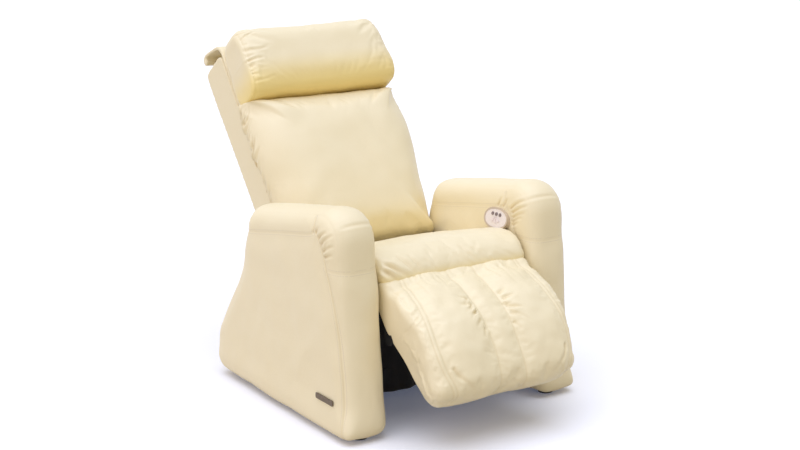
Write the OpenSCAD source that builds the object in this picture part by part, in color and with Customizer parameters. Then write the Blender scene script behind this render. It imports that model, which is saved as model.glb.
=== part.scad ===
// Upholstered massage recliner: reclining back with a roller carriage, lifting leg rest,
// flip-over head pillow. Origin on the floor under the middle, +Z up, the sitter faces -Y.

/* [Overall] */
// Width over both arms
body_w = 800; // [760:5:900]
// Width of one arm
arm_w = 150; // [135:1:170]
// Gap between the floor and the underside of the arms
floor_gap = 20; // [14:1:30]

/* [Arm profile] */
// Distance of the front foot of the arm ahead of the origin
arm_front = 434; // [420:1:470]
// Lean of the arm's front face, in degrees
front_lean = 6; // [2:1:8]
// Height of the highest point of the arm
arm_top = 624; // [610:1:680]
// Fall of the arm's top towards the rear, in degrees
arm_fall = 9.4; // [6:0.2:11]
// Radius of the arm's nose
nose_r = 95; // [88:1:105]
// Radius at the rear end of the arm's top
tail_r = 50; // [50:1:56]
// Distance of the arm's upper rear edge behind the origin
arm_rear = 131; // [120:1:150]
// Distance of the arm's heel behind the origin
heel_rear = 324; // [310:1:345]
// Slope of the flare down to the heel, in degrees from vertical
flare_angle = 36; // [32:1:39]
// Radius of the hollow of the flare
flare_r = 300; // [280:5:320]
// Radius of the heel
heel_r = 113; // [100:1:120]
// Radius at the bottom of the heel
toe_r = 50; // [50:1:56]

/* [Arm upholstery] */
// Thickness of the arm pad
pad_t = 70; // [60:1:78]
// Height of the seam at the front end of the arm pad
pad_seam_z = 463; // [440:1:480]
// Thickness of the front band
band_t = 60; // [52:1:66]
// Depth of the front band on the arm's outer side
band_wrap = 14; // [8:1:24]
// Radius of the front band's inner corner
band_inner_r = 54; // [30:1:56]
// Radius of the front band's outer corner
band_outer_r = 13; // [5:1:14]
// Radius of the rear corner on the arm's outer side
rear_corner_r = 44; // [20:1:48]
// Thickness of the padded rear band
rear_t = 50; // [40:1:50]
// Thickness of the padded outer panel
outer_t = 25; // [18:1:30]
// Thickness of the padded inner panel
inner_t = 20; // [14:1:25]
// Width of the boards of the arm frame
board_w = 40; // [30:1:50]
// Thickness of the boards of the arm frame
board_t = 18; // [12:1:25]
// Radius of a glide foot
glide_r = 22; // [15:1:30]

/* [Seat] */
// Free gap between a moving or loose part and the arm beside it
side_gap = 3; // [2:0.5:6]
// Height of the seat's surface at the back
seat_back_z = 408; // [398:1:412]
// Height of the seat's surface at the front
seat_front_z = 478; // [468:1:484]
// Distance of the seat's rear end behind the origin
seat_rear = 38; // [30:1:40]
// Distance of the seat's front roll ahead of the origin
seat_front = 384; // [376:1:386]
// Radius of the seat's front roll
seat_roll_r = 27; // [20:1:28]
// Thickness of the seat cushion behind the roll
seat_t = 100; // [85:1:104]
// Thickness of the seat deck
deck_t = 15; // [10:1:18]

/* [Back] */
// Distance of the back's pivot behind the origin
back_pivot_y = 145; // [145:1:152]
// Height of the back's pivot
back_pivot_z = 382; // [378:1:392]
// Tilt of the back from vertical, in degrees
back_tilt = 37; // [30:1:42]
// Gap between the back shell and the arm beside it
back_gap = 5; // [3:0.5:10]
// Radius of the back's round lower end
back_r = 100; // [92:1:102]
// Depth of the back shell
shell_d = 113; // [108:1:125]
// Height of the back shell above its pivot
shell_h = 690; // [670:5:740]
// Thickness of the padded bands of the shell
shell_band_t = 20; // [14:1:24]
// Thickness of the rear cover of the shell
shell_cover_t = 15; // [8:1:16]
// How far the back cushion stands past the arms' inner faces, above them
cushion_over = 20; // [0:1:24]
// Height of the back cushion's top above the pivot
cushion_top = 466; // [430:1:470]
// Radius of the back cushion's upper corners
cushion_corner = 50; // [30:5:80]
// Depth of the back cushion ahead of the shell
cushion_d = 122; // [90:1:130]
// Height above the pivot from which the cushion stands wider than the gap between the arms
cushion_wide_from = 215; // [205:1:260]

/* [Head pillow] */
// Width of the pillow
pillow_w = 530; // [500:2:560]
// Height of the pillow
pillow_h = 243; // [220:1:248]
// Depth of the pillow
pillow_d = 150; // [120:1:165]
// Radius of the pillow's corners
pillow_corner = 50; // [20:5:80]
// Gap between the pillow and the shell behind it
pillow_gap = 22; // [18:1:40]
// Thickness of the strap that carries the pillow
strap_t = 10; // [6:1:12]
// Radius of the roll at the strap's free end
strap_roll_r = 15; // [12:1:18]

/* [Leg rest] */
// Distance of the leg rest's pivot ahead of the origin
leg_pivot_y = 365; // [362:1:367]
// Height of the leg rest's pivot
leg_pivot_z = 380; // [376:1:382]
// Angle of the leg rest from vertical, in degrees
leg_tilt = 38; // [20:1:40]
// Gap between the leg rest pad and the arm beside it
leg_gap = 13; // [12:0.5:20]
// Length of the leg rest below its pivot
leg_l = 340; // [320:1:345]
// Radius of the leg rest's round upper end
leg_r = 46; // [40:1:46]
// Height of the pad's crown ahead of the pivot
leg_crown = 119; // [100:1:125]
// Radius at the pad's lower edge
leg_edge_r = 40; // [25:1:50]
// Thickness of the board behind the pad
leg_board_t = 40; // [25:1:45]
// Thickness of a hinge plate
hinge_plate_t = 5; // [4:0.5:6]

/* [Pins and fits] */
// Radius of the pivot pins of the back and leg rest
pin_r = 8; // [6:0.5:10]
// Radial clearance of a running fit
run_fit = 0.05; // [0.03:0.01:0.08]
// Gap between a moving piece and a still one beside it
gap = 1; // [0.6:0.1:1.5]

/* [Roller carriage] */
// Radius of a massage roller
roller_r = 25; // [20:0.5:25]
// Width of a massage roller
roller_w = 32; // [24:1:36]
// Height of a roller's axle above or below the arm's pivot
roller_reach = 95; // [90:1:105]
// Distance of an arm's pivot from the middle
knead_x = 60; // [50:1:66]
// Radius of the guide rails
rail_r = 8; // [6:0.5:10]
// Distance of a guide rail from the middle
rail_x = 150; // [140:1:165]
// Radius of the lead screw
screw_r = 7; // [6:0.5:9]
// Height of the carriage above the back's pivot
carriage_z = 350; // [340:1:360]

/* [Actuators] */
// Radius of an actuator's outer tube
tube_r = 18; // [15:1:20]
// Radius of an actuator's rod
rod_r = 10; // [8:0.5:11]
// Distance of the two actuators from the middle
actuator_x = 90; // [80:1:100]
// Distance of the back's lever pin from the pivot
back_lever = 70; // [66:1:72]
// Distance of the leg rest's lever pin from the pivot
leg_lever = 36; // [34:1:38]
// Radius of the lever pins
lever_pin_r = 5; // [4:0.5:6]
// Free play of the back actuator's eye on its pin
back_play = 6.5; // [6:0.1:8]
// Free play of the leg rest actuator's eye on its pin
leg_play = 10.5; // [10:0.1:12]

/* [Controller] */
// Length of the controller
ctl_l = 108; // [100:1:120]
// Height of the controller
ctl_h = 64; // [56:1:68]
// Upward tilt of the controller's face, in degrees
ctl_tilt = 15; // [8:1:18]
// Distance of the controller ahead of the origin
ctl_front = 230; // [215:1:240]
// Height of the controller's centre
ctl_z = 507; // [505:1:520]
// Travel of a button
press = 1.2; // [0.8:0.1:1.5]

/* [Hidden] */
$fn = 48;

// Colours
ivory = [0.95, 0.90, 0.74];
dark_cloth = [0.05, 0.05, 0.09];
steel = [0.55, 0.56, 0.58];
black_plastic = [0.10, 0.10, 0.11];
wood = [0.72, 0.56, 0.36];

// Planes of the arms
arm_out = body_w / 2;
arm_in = arm_out - arm_w;
side_in = arm_in - side_gap;
back_w = 2 * (arm_in - back_gap);
cushion_w = 2 * (arm_in + cushion_over);
leg_w = 2 * (arm_in - leg_gap);
eps = 0.5;

// Centres of the arcs of the arm's side outline, in (y, z)
nose_z = arm_top - nose_r;
nose_c = [-arm_front + (nose_z - floor_gap) * tan(front_lean) + nose_r / cos(front_lean), nose_z];
tail_y = arm_rear - tail_r;
tail_c = [tail_y, nose_z + (nose_r - tail_r) * cos(arm_fall)
    - (tail_y - nose_c.x - (nose_r - tail_r) * sin(arm_fall)) * tan(arm_fall)];
waist_z = tail_c.y - 8;
flare_c = [arm_rear + flare_r, waist_z];
flare_end = [arm_rear + flare_r * (1 - cos(flare_angle)), waist_z - flare_r * sin(flare_angle)];
flare_len = (heel_rear - heel_r + heel_r * cos(flare_angle) - flare_end.x) / sin(flare_angle);
heel_c = flare_end + flare_len * [sin(flare_angle), -cos(flare_angle)]
    - heel_r * [cos(flare_angle), sin(flare_angle)];
toe_c = [heel_rear - toe_r, floor_gap + toe_r];
pad_tail_angle = 4;

// Outward directions of the front face and of the arm's top
front_n = [-cos(front_lean), sin(front_lean)];
top_n = [sin(arm_fall), cos(arm_fall)];
front_foot = [-arm_front, floor_gap];
seam_p = front_foot + (pad_seam_z - floor_gap) / cos(front_lean) * [sin(front_lean), cos(front_lean)];
nose_start = nose_c + nose_r * front_n;
crown_len = (tail_c - nose_c) * [cos(arm_fall), -sin(arm_fall)];

function arc(c, r, a0, a1, n = 10) = [for (i = [0:n]) let (a = a0 + (a1 - a0) * i / n)
    c + r * [cos(a), sin(a)]];
function arc_or_point(c, r, a0, a1) = r > 0.01 ? arc(c, r, a0, a1) : [c];
// Rectangle from lo to hi with one radius for each corner: low-low, high-low, high-high, low-high
function rounded(lo, hi, r) = concat(
    arc_or_point(lo + [r[0], r[0]], r[0], 180, 270),
    arc_or_point([hi.x - r[1], lo.y + r[1]], r[1], 270, 360),
    arc_or_point(hi - [r[2], r[2]], r[2], 0, 90),
    arc_or_point([lo.x + r[3], hi.y - r[3]], r[3], 90, 180));
function superellipse(a, b, p, n = 40) = [for (i = [0:n - 1]) let (t = 360 * i / n)
    [a * sign(cos(t)) * pow(abs(cos(t)), p), b * sign(sin(t)) * pow(abs(sin(t)), p)]];

// A (y, z) outline drawn along x, from x0 to x1
module along_x(x0, x1) {
    translate([x0, 0, 0]) rotate([90, 0, 90]) linear_extrude(x1 - x0) children();
}
// An (x, z) outline drawn along y, from y0 to y1
module along_y(y0, y1) {
    translate([0, y1, 0]) rotate([90, 0, 0]) linear_extrude(y1 - y0) children();
}
// An (x, y) outline drawn along z, from z0 to z1
module along_z(z0, z1) {
    translate([0, 0, z0]) linear_extrude(z1 - z0) children();
}
// A box between two corners
module box(lo, hi) {
    translate(lo) cube(hi - lo);
}
// A round bar along x
module bar_x(p, r, x0, x1) {
    translate([x0, p.x, p.y]) rotate([0, 90, 0]) cylinder(r = r, h = x1 - x0);
}
// A section (outward distance, x) turned about a centre in the side view
module turn(c, a0, a1) {
    translate([0, c.x, c.y]) rotate([90, 0, 90]) rotate(a0) rotate_extrude(angle = a1 - a0)
        children();
}
// A section (outward distance, x) drawn straight on from p; n_angle is its outward direction.
// It laps into the turns at its ends, and stands back a hair from their surface.
lap = 1;
hair = 0.3;
module run(p, n_angle, len, first_lap = lap, last_lap = lap) {
    translate([0, p.x, p.y]) rotate([90, 0, 90]) rotate(n_angle) rotate([90, 0, 0])
        translate([0, 0, -first_lap]) linear_extrude(len + first_lap + last_lap) children();
}
module on_side(side) {
    mirror([side < 0 ? 1 : 0, 0, 0]) children();
}

/* Arms: sections are (outward distance, x) on the left side */

module pad_section(depth = pad_t, back = 0) {
    half = arm_w / 2;
    intersection() {
        translate([-pad_t, arm_in + half]) polygon(superellipse(pad_t - back, half - back, 0.8));
        translate([-depth + back, arm_in]) square([depth, arm_w]);
    }
}

module arm_pad(side) {
    color(ivory) on_side(side) {
        seam_to_nose = norm(nose_start - seam_p);
        run(seam_p, 180 - front_lean, seam_to_nose, first_lap = 0) pad_section(back = hair);
        turn(nose_c, 90 - arm_fall, 180 - front_lean) translate([nose_r, 0]) pad_section();
        run(nose_c + nose_r * top_n, 90 - arm_fall, crown_len) pad_section(back = hair);
        turn(tail_c, 0, 90 - arm_fall) translate([tail_r, 0]) pad_section(rear_t);
        run([arm_rear, tail_c.y], 0, tail_c.y - waist_z) pad_section(rear_t, hair);
        turn(flare_c, 180, 180 + pad_tail_angle) translate([flare_r, 0]) mirror([1, 0])
            pad_section(rear_t);
    }
}

// The arm's side between the front band, the pad, the rear band and the floor gap
function panel_outline(front_inset) = concat(
    [[-arm_front + front_inset / cos(front_lean), floor_gap],
     seam_p - front_inset * front_n, seam_p - pad_t * front_n],
    arc(nose_c, nose_r - pad_t, 180 - front_lean, 90 - arm_fall),
    [tail_c - (pad_t - tail_r) * top_n + (lap + hair) * [cos(arm_fall), -sin(arm_fall)]],
    arc(flare_c, flare_r + rear_t + 0.1, 180, 180 + flare_angle, 16),
    arc(heel_c, heel_r - rear_t, flare_angle, 0),
    arc_or_point(toe_c, toe_r - rear_t, 0, -90),
    [[toe_c.x, floor_gap]]);

boss_r = 16;
boss_t = 2.5;
module boss_holes() {
    for (p = [[back_pivot_y, back_pivot_z], [-leg_pivot_y, leg_pivot_z]])
        bar_x(p, boss_r, arm_in - eps, arm_in + inner_t);
}

module outer_panel(side) {
    color(ivory) on_side(side) along_x(arm_out - outer_t, arm_out)
        polygon(panel_outline(band_wrap));
}

module inner_panel(side) {
    color(ivory) on_side(side) difference() {
        along_x(arm_in, arm_in + inner_t) polygon(panel_outline(band_t));
        boss_holes();
        if (side > 0) on_controller() along_z(-arm_w, arm_w) polygon(oval(0.5));
    }
}

module front_band(side) {
    color(ivory) on_side(side) intersection() {
        run(front_foot - band_t * [sin(front_lean), cos(front_lean)], 180 - front_lean,
            norm(seam_p - front_foot) + band_t, 0, 0) difference() {
            polygon(rounded([-band_t, arm_in], [0, arm_out],
                [0, band_inner_r, band_outer_r, 0]));
            translate([-band_t - eps, arm_out - outer_t])
                square([band_t + eps - band_wrap, outer_t + eps]);
        }
        difference() {
            box([arm_in - eps, -arm_front - eps, floor_gap], [arm_out + eps, 0, arm_top]);
            boss_holes();
        }
    }
}

module rear_section(back = 0) {
    polygon(rounded([-rear_t + back, arm_in + back], [-back, arm_out - back],
        [0, 0, rear_corner_r, 0]));
}

module rear_band(side) {
    color(ivory) on_side(side) difference() {
        union() {
            turn(flare_c, 180 + pad_tail_angle, 180 + flare_angle) translate([flare_r, 0])
                mirror([1, 0]) rear_section();
            run(flare_end, flare_angle, flare_len) rear_section(hair);
            turn(heel_c, 0, flare_angle) translate([heel_r, 0]) rear_section();
            if (heel_c.y > toe_c.y)
                run([heel_rear, heel_c.y], 0, heel_c.y - toe_c.y) rear_section(hair);
            turn(toe_c, -90, 0) translate([toe_r, 0]) rear_section();
        }
        boss_holes();
    }
}

// Boards inside both arms: floor board, leaning front post, rear post and the rail under the pad
module arm_frames() {
    x0 = arm_in + inner_t;
    x1 = arm_out - outer_t;
    color(wood) for (side = [-1, 1]) on_side(side) along_x(x0, x1) intersection() {
        polygon(panel_outline(band_t));
        union() {
            translate(front_foot) square([toe_c.x + arm_front, board_t]);
            translate(front_foot) rotate(-front_lean)
                translate([band_t + eps, 0]) square([board_w, arm_top]);
            translate([tail_c.x - board_w, floor_gap]) square([board_w, arm_top]);
            translate(nose_c + nose_r * top_n) rotate(-arm_fall)
                translate([-nose_r, -pad_t - board_w - eps]) square([crown_len + nose_r, board_w]);
        }
    }
}

glide_y = [-(arm_front - band_t), toe_c.x - board_w];
module glide_feet() {
    color(black_plastic) for (side = [-1, 1], y = glide_y)
        translate([side * (arm_in + arm_w / 2), y, 0]) {
            cylinder(r = glide_r, h = floor_gap - 6);
            translate([0, 0, floor_gap - 6]) cylinder(r = glide_r * 0.6, h = 6);
        }
}

badge_l = 88;
badge_h = 16;
badge_y = -320;
badge_z = 108;
module badge_plate() {
    color([0.25, 0.19, 0.14])
        along_x(-arm_out - 2, -arm_out)
            translate([badge_y, badge_z])
                polygon(rounded([-badge_l, -badge_h] / 2, [badge_l, badge_h] / 2, [4, 4, 4, 4]));
}

/* Seat */

seat_slope = (seat_front_z - seat_back_z) / (seat_front + seat_rear - seat_roll_r);
function seat_z(y) = seat_back_z + (seat_rear - y) * seat_slope;
seat_roll_c = [-seat_front + seat_roll_r, seat_z(-seat_front + seat_roll_r) - seat_roll_r];
seat_bottom_y = [-leg_pivot_y + leg_r + 16, seat_rear];
deck_y = [seat_bottom_y[0] + 4, seat_rear - 8];

module seat_cushion() {
    color(ivory) along_x(-side_in, side_in) polygon(concat(
        [[seat_rear, seat_z(seat_rear) - seat_t], [seat_rear, seat_z(seat_rear)]],
        arc(seat_roll_c, seat_roll_r, 90, 240),
        [[seat_bottom_y[0], seat_roll_c.y - seat_roll_r * sin(60)],
         [seat_bottom_y[0], seat_z(seat_bottom_y[0]) - seat_t]]));
}

module seat_deck() {
    color(wood) along_x(-side_in, side_in) polygon([
        for (y = deck_y) [y, seat_z(y) - seat_t - hair],
        for (y = [deck_y[1], deck_y[0]]) [y, seat_z(y) - seat_t - deck_t]]);
}

rail_h = 25;
module seat_rails() {
    color(steel) for (side = [-1, 1]) on_side(side) along_x(arm_in - rail_h, arm_in) polygon([
        for (y = deck_y) [y, seat_z(y) - seat_t - deck_t],
        for (y = [deck_y[1], deck_y[0]]) [y, seat_z(y) - seat_t - deck_t - rail_h]]);
}

// Square tubes across the base, between the arms
tube_w = 40;
tube_z = 60;
front_tube_y = -188;
middle_tube_y = 40;
rear_tube_y = 228;
skirt_t = 2;
skirt_slot = [[-actuator_x - 26, 215], [-actuator_x + 26, 330]];
module front_skirt() {
    top = seat_z(front_tube_y) - seat_t - deck_t - rail_h;
    color(dark_cloth) difference() {
        box([-arm_in, front_tube_y - skirt_t, floor_gap + 8], [arm_in, front_tube_y, top]);
        box([skirt_slot[0].x, front_tube_y - skirt_t - eps, skirt_slot[0].y],
            [skirt_slot[1].x, front_tube_y + eps, top + eps]);
    }
}

ear_t = 5;
eye_w = 20;
ear_gap = 2;
// Two ears that hold a pin at p, standing on the level z0, with the pin between them
module base_ears(x, p, z0) {
    for (side = [-1, 1]) translate([x + side * (eye_w / 2 + ear_gap + ear_t / 2), 0, 0])
        along_x(-ear_t / 2, ear_t / 2) {
            translate([p.x, p.y]) circle(r = tube_r);
            translate([p.x - tube_r, z0]) square([2 * tube_r, p.y - z0]);
        }
    bar_x(p, lever_pin_r, x - eye_w / 2 - ear_gap - ear_t / 2, x + eye_w / 2 + ear_gap + ear_t / 2);
}

back_base = [front_tube_y + tube_w / 2, tube_z + tube_w + 28];
leg_base = [middle_tube_y + tube_w / 2, tube_z + tube_w + 28];
wheel_r = 25;
wheel_w = 18;
wheel_x = 200;
wheel_c = [rear_tube_y + tube_w / 2, wheel_r + 5];
axle_r = 5;
fork_gap = 2;

module wheel_fork(side) {
    x = side * wheel_x;
    for (s = [-1, 1]) {
        x0 = x + s * (wheel_w / 2 + fork_gap + ear_t / 2);
        box([x0 - ear_t / 2, wheel_c.x - 12, wheel_c.y - 12], [x0 + ear_t / 2, wheel_c.x + 12, tube_z]);
    }
    half = wheel_w / 2 + fork_gap + ear_t / 2;
    bar_x(wheel_c, axle_r, x - half, x + half);
}

module cross_tubes() {
    color(steel) {
        for (y = [front_tube_y, middle_tube_y, rear_tube_y])
            box([-arm_in, y, tube_z], [arm_in, y + tube_w, tube_z + tube_w]);
        base_ears(actuator_x, back_base, tube_z + tube_w);
        base_ears(-actuator_x, leg_base, tube_z + tube_w);
        for (side = [-1, 1]) wheel_fork(side);
    }
}

module transport_wheel(side) {
    color(black_plastic) translate([side * wheel_x, wheel_c.x, wheel_c.y]) rotate([90, 0, 90])
        rotate_extrude() {
            polygon(rounded([axle_r + run_fit, -wheel_w / 2], [wheel_r, wheel_w / 2],
                [0, 4, 4, 0]));
        }
}

cover_t = 8;
cover_y = rear_tube_y + tube_w;
cover_foot_z = tube_z + 15;
cover_bend_z = tube_z + tube_w + 75;
cover_slant = [-44, 76];
cover_skew = [-7, -5];
inlet_c = [-150, 130];
inlet_size = [44, 26];
rocker_x = -100;
rocker_r = 11;
rocker_w = 16;
module rear_cover() {
    color(black_plastic) difference() {
        bend = [cover_y + cover_t, cover_bend_z];
        top = bend + cover_slant;
        along_x(-arm_in, arm_in) polygon([[cover_y, cover_foot_z], [bend.x, cover_foot_z],
            bend, top, top + cover_skew, [cover_y, cover_bend_z - cover_t / 2]]);
        box([inlet_c.x - inlet_size.x / 2, cover_y - eps, inlet_c.y - inlet_size.y / 2],
            [inlet_c.x + inlet_size.x / 2, cover_y + cover_t + eps, inlet_c.y + inlet_size.y / 2]);
        box([rocker_x - 14, cover_y - eps, inlet_c.y - 14],
            [rocker_x + 14, cover_y + cover_t + eps, inlet_c.y + 14]);
    }
}

// Inlet with three contacts in a recess, and the housing of the power rocker
rocker_y = cover_y + cover_t - 5;
module power_inlet() {
    flange_t = 3;
    back = cover_y + cover_t;
    color(black_plastic) difference() {
        union() {
            box([inlet_c.x - 27, back, inlet_c.y - 17], [rocker_x + 18, back + flange_t, inlet_c.y + 17]);
            box([inlet_c.x - 21, back - 26, inlet_c.y - 12], [inlet_c.x + 21, back, inlet_c.y + 12]);
            box([rocker_x - 13, back - 22, inlet_c.y - 13], [rocker_x + 13, back, inlet_c.y + 13]);
        }
        box([inlet_c.x - 13, back - 20, inlet_c.y - 8], [inlet_c.x + 13, back + flange_t + eps, inlet_c.y + 8]);
        bar_x([rocker_y, inlet_c.y], rocker_r + 0.4, rocker_x - rocker_w / 2 - 0.3, rocker_x + rocker_w / 2 + 0.3);
    }
    color(steel) for (x = [-7, 0, 7]) box([inlet_c.x + x - 1, back - 20, inlet_c.y - 3],
        [inlet_c.x + x + 1, back - 4, inlet_c.y + 3]);
}

module power_rocker() {
    color(black_plastic) difference() {
        bar_x([rocker_y, inlet_c.y], rocker_r, rocker_x - rocker_w / 2, rocker_x + rocker_w / 2);
        for (side = [-1, 1]) translate([rocker_x, rocker_y + rocker_r, inlet_c.y])
            rotate([side * 12, 0, 0]) translate([-rocker_w, -3, side > 0 ? 0 : -rocker_r * 2])
                cube([2 * rocker_w, rocker_r, rocker_r * 2]);
    }
}

box_size = [90, 98, 56];
box_plate = [120, rear_tube_y - middle_tube_y - tube_w, 4];
module control_box() {
    base_y = middle_tube_y + tube_w;
    color(black_plastic) translate([-box_size.x / 2, base_y + 30, tube_z + box_plate.z / 2]) cube(box_size);
    color(steel) translate([-box_plate.x / 2, base_y, tube_z - box_plate.z / 2]) cube(box_plate);
}

/* Pivot pins: a boss through the arm's inner face and a pin into the hinge plate */

pin_seats = [[back_pivot_y, back_pivot_z, back_w / 2 - shell_band_t - hinge_plate_t - 0.5],
    [-leg_pivot_y, leg_pivot_z, leg_w / 2 + 0.5]];
module pivot_pins() {
    color(steel) for (side = [-1, 1], seat = pin_seats) on_side(side) {
        bar_x([seat[0], seat[1]], boss_r, arm_in - boss_t, arm_in + inner_t);
        bar_x([seat[0], seat[1]], pin_r, seat[2], arm_in);
    }
}

/* Back: z runs up the back from its pivot, -y faces the sitter */

back_pivot = [back_pivot_y, back_pivot_z];
shell_front = back_r - shell_d;
plate_out = back_w / 2 - shell_band_t;
plate_in = plate_out - hinge_plate_t - 1;

module on_back() {
    translate([0, back_pivot.x, back_pivot.y]) rotate([-back_tilt, 0, 0]) children();
}

module back_band(side) {
    color(ivory) on_back() on_side(side) along_x(plate_out, back_w / 2) difference() {
        union() {
            intersection() {
                circle(r = back_r, $fn = 96);
                translate([-back_r, -back_r]) square([2 * back_r, back_r - 14]);
            }
            polygon(rounded([shell_front, -14], [back_r, shell_h], [0, 0, 22, 22]));
        }
        circle(r = pin_r + 3);
    }
}

module back_top_band() {
    color(ivory) on_back() along_x(-plate_out, plate_out)
        polygon(rounded([shell_front, shell_h - shell_band_t], [back_r, shell_h],
            [0, 0, shell_band_t - 1, shell_band_t - 1]));
}

module back_cover() {
    inner = back_r - shell_cover_t;
    color(ivory) on_back() along_x(-plate_out, plate_out)
        translate([inner, 2]) square([shell_cover_t, shell_h - shell_band_t - 2]);
}

lower_bar_z = [50, 80];
upper_bar_z = [shell_h - 65, shell_h - 35];
mech_y = 45;
journal_r = 5;
hub_r = 12.5;
back_lever_angle = -60 + back_tilt;
back_pin = back_lever * [cos(back_lever_angle), sin(back_lever_angle)];

// Two ears on a pivot tube, with a pin between them
module lever_ears(x, root, p, r) {
    for (side = [-1, 1]) translate([x + side * (eye_w / 2 + ear_gap + ear_t / 2), 0, 0])
        along_x(-ear_t / 2, ear_t / 2) hull() {
            translate(root) circle(r = r, $fn = 32);
            translate(p) circle(r = r, $fn = 32);
        }
    half = eye_w / 2 + ear_gap + ear_t / 2;
    bar_x(p, lever_pin_r, x - half, x + half);
}

module back_frame() {
    color(steel) on_back() {
        difference() {
            for (side = [-1, 1]) on_side(side) along_x(plate_in, plate_out - 0.5) union() {
                circle(r = hub_r);
                translate([-hub_r, 0]) square([hub_r + 76, shell_h - shell_band_t - 4]);
            }
            bar_x([0, 0], pin_r + run_fit, -back_w, back_w);
        }
        bar_x([0, 0], hub_r, -plate_in, plate_in);
        lever_ears(actuator_x, [0, 0], back_pin, 12);
        difference() {
            union() for (z = [lower_bar_z, upper_bar_z])
                box([-plate_in, mech_y - 15, z[0]], [plate_in, mech_y + 15, z[1]]);
            for (z = [lower_bar_z, upper_bar_z]) translate([0, mech_y, z[0] - eps])
                cylinder(r = journal_r + run_fit, h = z[1] - z[0] + 2 * eps);
        }
    }
}

module guide_rails() {
    color("silver") on_back() for (side = [-1, 1])
        translate([side * rail_x, mech_y, lower_bar_z[1]])
            cylinder(r = rail_r, h = upper_bar_z[0] - lower_bar_z[1]);
}

module lift_motor() {
    color(black_plastic) on_back() difference() {
        union() {
            box([-34, mech_y - 15, 24], [34, mech_y + 30, lower_bar_z[0]]);
            bar_x([mech_y + 8, 37], 13, 34, 80);
        }
        translate([0, mech_y, 20]) cylinder(r = journal_r + gap, h = 60);
    }
}

module lead_screw() {
    color("silver") on_back() translate([0, mech_y, 0]) {
        translate([0, 0, lower_bar_z[0] - 10]) cylinder(r = journal_r, h = upper_bar_z[1] - lower_bar_z[0] + 5);
        translate([0, 0, lower_bar_z[1] + gap])
            cylinder(r = screw_r, h = upper_bar_z[0] - lower_bar_z[1] - 2 * gap);
    }
}

/* Roller carriage */

carriage_h = 120;
carriage_w = 2 * (rail_x + rail_r + 12);
carriage_y = [mech_y - 15, mech_y + 15];
knead_pin_r = 8;
knead_arm_t = 12;
knead_arm_y = carriage_y[0] - gap - knead_arm_t;

module on_carriage() {
    on_back() translate([0, 0, carriage_z]) children();
}

module carriage() {
    color([0.75, 0.75, 0.77]) on_carriage() {
        difference() {
            box([-carriage_w / 2, carriage_y[0], -carriage_h / 2],
                [carriage_w / 2, carriage_y[1], carriage_h / 2]);
            for (side = [-1, 1]) translate([side * rail_x, mech_y, -carriage_h / 2 - eps])
                cylinder(r = rail_r + run_fit, h = carriage_h + 2 * eps);
            translate([0, mech_y, -carriage_h / 2 - eps])
                cylinder(r = screw_r + run_fit, h = carriage_h + 2 * eps);
        }
        for (side = [-1, 1]) translate([side * knead_x, carriage_y[0], 0]) rotate([90, 0, 0])
            cylinder(r = knead_pin_r, h = gap + knead_arm_t);
    }
}

// The motor on one side of the screw and its gear case on the other
motor_x = [20, 120];
motor_h = 68;
gear_case = [[-120, carriage_y[1], -20], [-30, carriage_y[1] + 16, 30]];
module knead_motor() {
    color(black_plastic) on_carriage() {
        box([motor_x[0], carriage_y[1], -motor_h / 2],
            [motor_x[1], back_r - shell_cover_t - gap, motor_h / 2]);
        box(gear_case[0], gear_case[1]);
    }
}

module knead_arm(side) {
    axle_y = knead_arm_y + knead_arm_t / 2;
    color([0.75, 0.75, 0.77]) on_carriage() on_side(side) translate([knead_x, 0, 0]) {
        difference() {
            along_y(knead_arm_y, knead_arm_y + knead_arm_t) {
                polygon(rounded([-9, -roller_reach - 9], [9, roller_reach + 9], [8, 8, 8, 8]));
                circle(r = 16);
            }
            translate([0, carriage_y[0], 0]) rotate([90, 0, 0])
                cylinder(r = knead_pin_r + run_fit, h = 40);
        }
        for (s = [-1, 1]) bar_x([axle_y, s * roller_reach], axle_r, 8, 9 + gap + roller_w + gap);
    }
}

module roller(side, s) {
    axle_y = knead_arm_y + knead_arm_t / 2;
    color([0.35, 0.33, 0.36]) on_carriage() on_side(side)
        translate([knead_x + 9 + gap, axle_y, s * roller_reach]) rotate([90, 0, 90]) rotate_extrude()
            polygon(rounded([axle_r + run_fit, 0], [roller_r, roller_w], [0, 10, 10, 0]));
}

/* Back cushion and head pillow */

cushion_z0 = -10;
module back_cushion() {
    narrow = side_in - 4;
    wide = cushion_w / 2;
    cushion_front = shell_front - cushion_d;
    mid = cushion_top * 0.45;
    color(ivory) on_back() intersection() {
        along_y(cushion_front - eps, shell_front) polygon(concat(
            [[-narrow, cushion_z0], [narrow, cushion_z0], [narrow, cushion_wide_from - 40]],
            [[wide, cushion_wide_from + 20]],
            arc([wide - cushion_corner, cushion_top - cushion_corner], cushion_corner, 0, 90),
            arc([cushion_corner - wide, cushion_top - cushion_corner], cushion_corner, 90, 180),
            [[-wide, cushion_wide_from + 20]],
            [[-narrow, cushion_wide_from - 40]]));
        along_x(-cushion_w, cushion_w) polygon(concat(
            [for (i = [0:12]) let (z = cushion_z0 + (cushion_top - cushion_z0) * i / 12)
                [shell_front - cushion_d * (1 - 0.26 * pow(abs(z - mid) / (cushion_top - mid), 4)), z]],
            [[shell_front, cushion_top], [shell_front, cushion_z0]]));
        along_z(cushion_z0, cushion_top) translate([0, shell_front])
            polygon(superellipse(wide, cushion_d, 0.42, 48));
    }
}

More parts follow.
